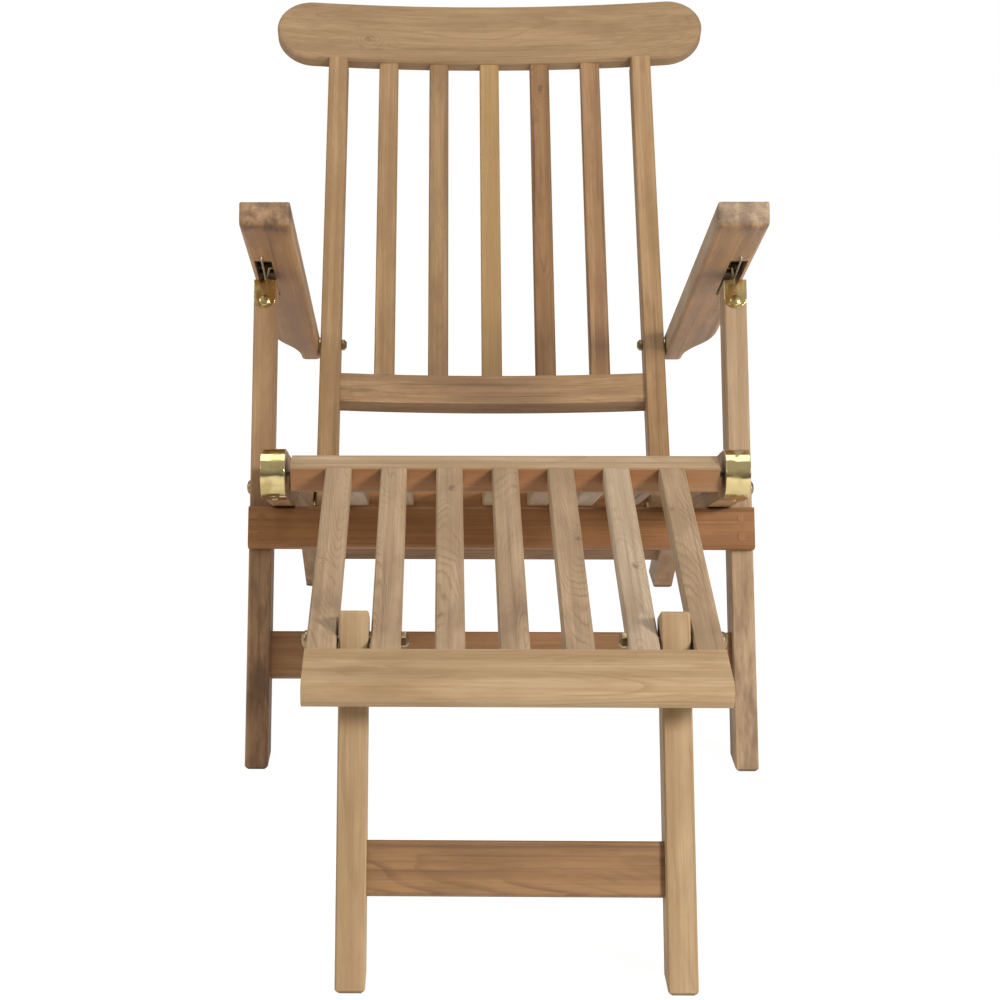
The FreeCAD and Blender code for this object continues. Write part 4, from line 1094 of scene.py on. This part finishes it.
@dataclass
class Footrest:
    """Hinge rail, slats, front board and folding legs.

    Args:
        slope: Slope of the slats.
        leg_slope: Slope of the legs.
        knots: Knots of the slats, from left to right.
        stains: How dark the slats' stains are.
        tones: Planks of the slats.
    """

    slope: float = FOOTREST_SLOPE
    leg_slope: float = FOOTREST_LEG_SLOPE
    knots: tuple[Knot, ...] = (
        Knot(-0.02, -0.004, 0.005), Knot(), Knot(0.150, 0.003, 0.012), Knot(), Knot(0.03, 0.010, 0.008),
        Knot(-0.03, 0.004, 0.012), Knot(0.10, -0.009, 0.006))
    stains: tuple[float, ...] = (0.40, 0.15, 0.30, 0.40, 0.25, 0.35, 0.20)
    tones: tuple[Tone, ...] = (
        Tone.SAND, Tone.SAND, Tone.SAND, Tone.SAND, Tone.SAND, Tone.PALE, Tone.SAND)

    def build(self, shop: Workshop) -> None:
        """Dress the footrest's nodes.

        Args:
            shop: The workshop that dresses the pieces.
        """
        # Painted shade on every face of the hinge rail but its top, as under the slats.
        shop.board("footrest_hinge_rail", Cut(
            Tone.PALE_GOLD, Run.ACROSS, self.slope, ring_gap=0.003, arch=0.005,
            darkening=AwayShade((140, 86, 44), 0.95)))
        for index, (tone, knot, dark) in enumerate(zip(self.tones, self.knots, self.stains)):
            shop.board(f"footrest_slat_{index + 1}", Cut(
                tone, Run.ALONG, self.slope, ring_gap=0.0022, arch=0.10, depth=0.03, knot=knot,
                stain=Stain(0.075, 0.05, dark)))
        shop.board("footrest_front_board", Cut(
            Tone.GOLD, Run.ACROSS, self.slope, ring_gap=0.0034, arch=0.012, depth=0.035,
            stain=Stain(0.08, 0.05, 0.20)))
        for side in ("left", "right"):
            cut = Cut(Tone.GOLD, Run.ALONG, self.leg_slope, ring_gap=0.0035, arch=0.02)
            shop.board(f"footrest_leg_{side}", cut)
        shop.board("footrest_leg_stretcher", Cut(
            Tone.BARK, Run.ACROSS, self.leg_slope, ring_gap=0.0042, arch=0.11, depth=0.03))
        shop.metal("footrest_hinge_pins", Metal.DARK_STEEL)
        PivotHardware("footrest_leg_bolts", "footrest_leg_nuts", "footrest", Metal.DULL_BRASS).build(shop)


@dataclass
class Camera:
    """The camera of the photograph, fitted to the chair's known widths.

    Args:
        place: Where the camera stands.
        pitch: How far it looks down, in radians.
        yaw: How far it looks to the right, in radians.
        roll: How far it is turned about its view, in radians.
        lens: Focal length on a 36 mm wide sensor, in millimetres.
        shift: Shift of the frame, in widths of the picture.
    """

    place: tuple[float, float, float] = (-0.0672, -2.7170, 0.9335)
    pitch: float = 0.2470
    yaw: float = -0.0231
    roll: float = -0.0036
    lens: float = 82.8
    shift: tuple[float, float] = (0.10888, 0.0055)

    def build(self) -> None:
        """Add the camera and make it the scene's own."""
        level = math.cos(self.pitch)
        forward = Vector((math.sin(self.yaw) * level, math.cos(self.yaw) * level, -math.sin(self.pitch)))
        right = Vector((math.cos(self.yaw), -math.sin(self.yaw), 0.0))
        up = right.cross(forward)
        turned_right = math.cos(self.roll) * right + math.sin(self.roll) * up
        turned_up = math.cos(self.roll) * up - math.sin(self.roll) * right
        lens = bpy.data.cameras.new("camera")
        lens.lens = self.lens
        lens.sensor_width = 36.0
        lens.shift_x, lens.shift_y = self.shift
        camera = bpy.data.objects.new("camera", lens)
        axes = Matrix((turned_right, turned_up, -forward)).transposed()
        camera.matrix_world = Matrix.Translation(Vector(self.place)) @ axes.to_4x4()
        bpy.context.scene.collection.objects.link(camera)
        bpy.context.scene.camera = camera
        LOG.info("camera at %s", self.place)


@dataclass
class Studio:
    """Pale floor, soft lamps and a white surround.

    Args:
        floor_size: Width of the floor.
        floor_glow: Strength of the floor's own white as the camera sees it.
        floor_share: Share of that white in what the camera sees; the rest shows light and shadow.
        floor_bounce: Share of that white in the light that the floor throws back at the chair.
        surround: Strength of the light from all round.
    """

    floor_size: float = 14.0
    floor_glow: float = 1.12
    floor_share: float = 0.84
    floor_bounce: float = 0.30
    surround: float = 0.36

    def build(self) -> None:
        """Add the floor, the surround and the lamps."""
        self.add_floor()
        self.add_surround()
        self.add_lamp("key_lamp", (2.5, -3.0, 1.9), (0.0, 0.0, 0.4), 0.9, 150.0)
        self.add_lamp("fill_lamp", (-3.2, -0.8, 1.7), (0.0, -0.1, 0.4), 1.6, 34.0)
        self.add_lamp("top_lamp", (-0.2, 0.0, 3.2), (0.0, 0.0, 0.3), 2.0, 30.0)
        LOG.info("studio built")

    def add_floor(self) -> None:
        """Add the floor: white to the camera, with the chair's soft shadow on it."""
        half = self.floor_size / 2.0
        mesh = bpy.data.meshes.new("floor")
        corners = [(-half, -half, 0.0), (half, -half, 0.0), (half, half, 0.0), (-half, half, 0.0)]
        mesh.from_pydata(corners, [], [(0, 1, 2, 3)])
        floor = bpy.data.objects.new("floor", mesh)
        bpy.context.scene.collection.objects.link(floor)
        material, shader = new_material("white_floor")
        matt = shader.add("ShaderNodeBsdfDiffuse", {"Color": (0.90, 0.90, 0.90, 1.0)})
        glow = shader.add("ShaderNodeEmission", {"Strength": self.floor_glow})
        path = shader.add("ShaderNodeLightPath")
        shares = {0: path.outputs["Is Camera Ray"], 2: self.floor_bounce, 3: self.floor_share}
        seen = shader.add("ShaderNodeMix", shares, data_type="FLOAT").outputs[0]
        mixed = shader.add("ShaderNodeMixShader", {0: seen, 1: matt.outputs[0], 2: glow.outputs[0]})
        shader.add("ShaderNodeOutputMaterial", {"Surface": mixed.outputs[0]})
        floor.data.materials.append(material)

    def add_surround(self) -> None:
        """Add the world: white to the camera, and darker towards the horizon where it lights the chair."""
        world = bpy.data.worlds.new("surround")
        bpy.context.scene.world = world
        world.use_nodes = True
        world.node_tree.nodes.clear()
        shader = Shader(world.node_tree)
        direction = shader.add("ShaderNodeTexCoord").outputs["Generated"]
        height = shader.add("ShaderNodeSeparateXYZ", {0: direction}).outputs[2]
        sky = shader.maths("MULTIPLY", shader.total(shader.ramp(height, -0.1, 0.7), 0.35), self.surround)
        path = shader.add("ShaderNodeLightPath")
        white = shader.maths("MAXIMUM", path.outputs["Is Camera Ray"], path.outputs["Is Transmission Ray"])
        strength = shader.add("ShaderNodeMix", {0: white, 2: sky, 3: 1.0}, data_type="FLOAT").outputs[0]
        glow = shader.add("ShaderNodeBackground", {"Strength": strength})
        glow.inputs["Color"].default_value = (1.0, 1.0, 1.0, 1.0)
        shader.add("ShaderNodeOutputWorld", {"Surface": glow.outputs[0]})

    @staticmethod
    def add_lamp(name: str, place: Colour, target: Colour, size: float, power: float) -> None:
        """Add one soft lamp.

        Args:
            name: The lamp's name.
            place: Where it hangs.
            target: What it points at.
            size: Width of its face.
            power: Its power, in watts.
        """
        light = bpy.data.lights.new(name, "AREA")
        light.size = size
        light.energy = power
        lamp = bpy.data.objects.new(name, light)
        lamp.location = place
        lamp.rotation_euler = (Vector(target) - Vector(place)).to_track_quat("-Z", "Y").to_euler()
        bpy.context.scene.collection.objects.link(lamp)


def main() -> None:
    """Build the camera and the studio, then dress the chair frame by frame."""
    logging.basicConfig(level=logging.INFO, format="%(message)s")
    Camera().build()
    Studio().build()
    shop = Workshop()
    # Painted shade on the armrests' undersides.
    arms = (Armrest("left", Tone.AMBER, AwayShade((178, 130, 78), 0.9, -0.55), 0.95),
            Armrest("right", Tone.DRIFT, AwayShade((191, 144, 98), 0.9, -0.55), 0.80))
    for part in (SeatFrame(), LegFrame(), BackFrame(), *arms, Footrest()):
        part.build(shop)
    bpy.context.scene.view_settings.view_transform = "Standard"


if __name__ == "__main__":
    main()
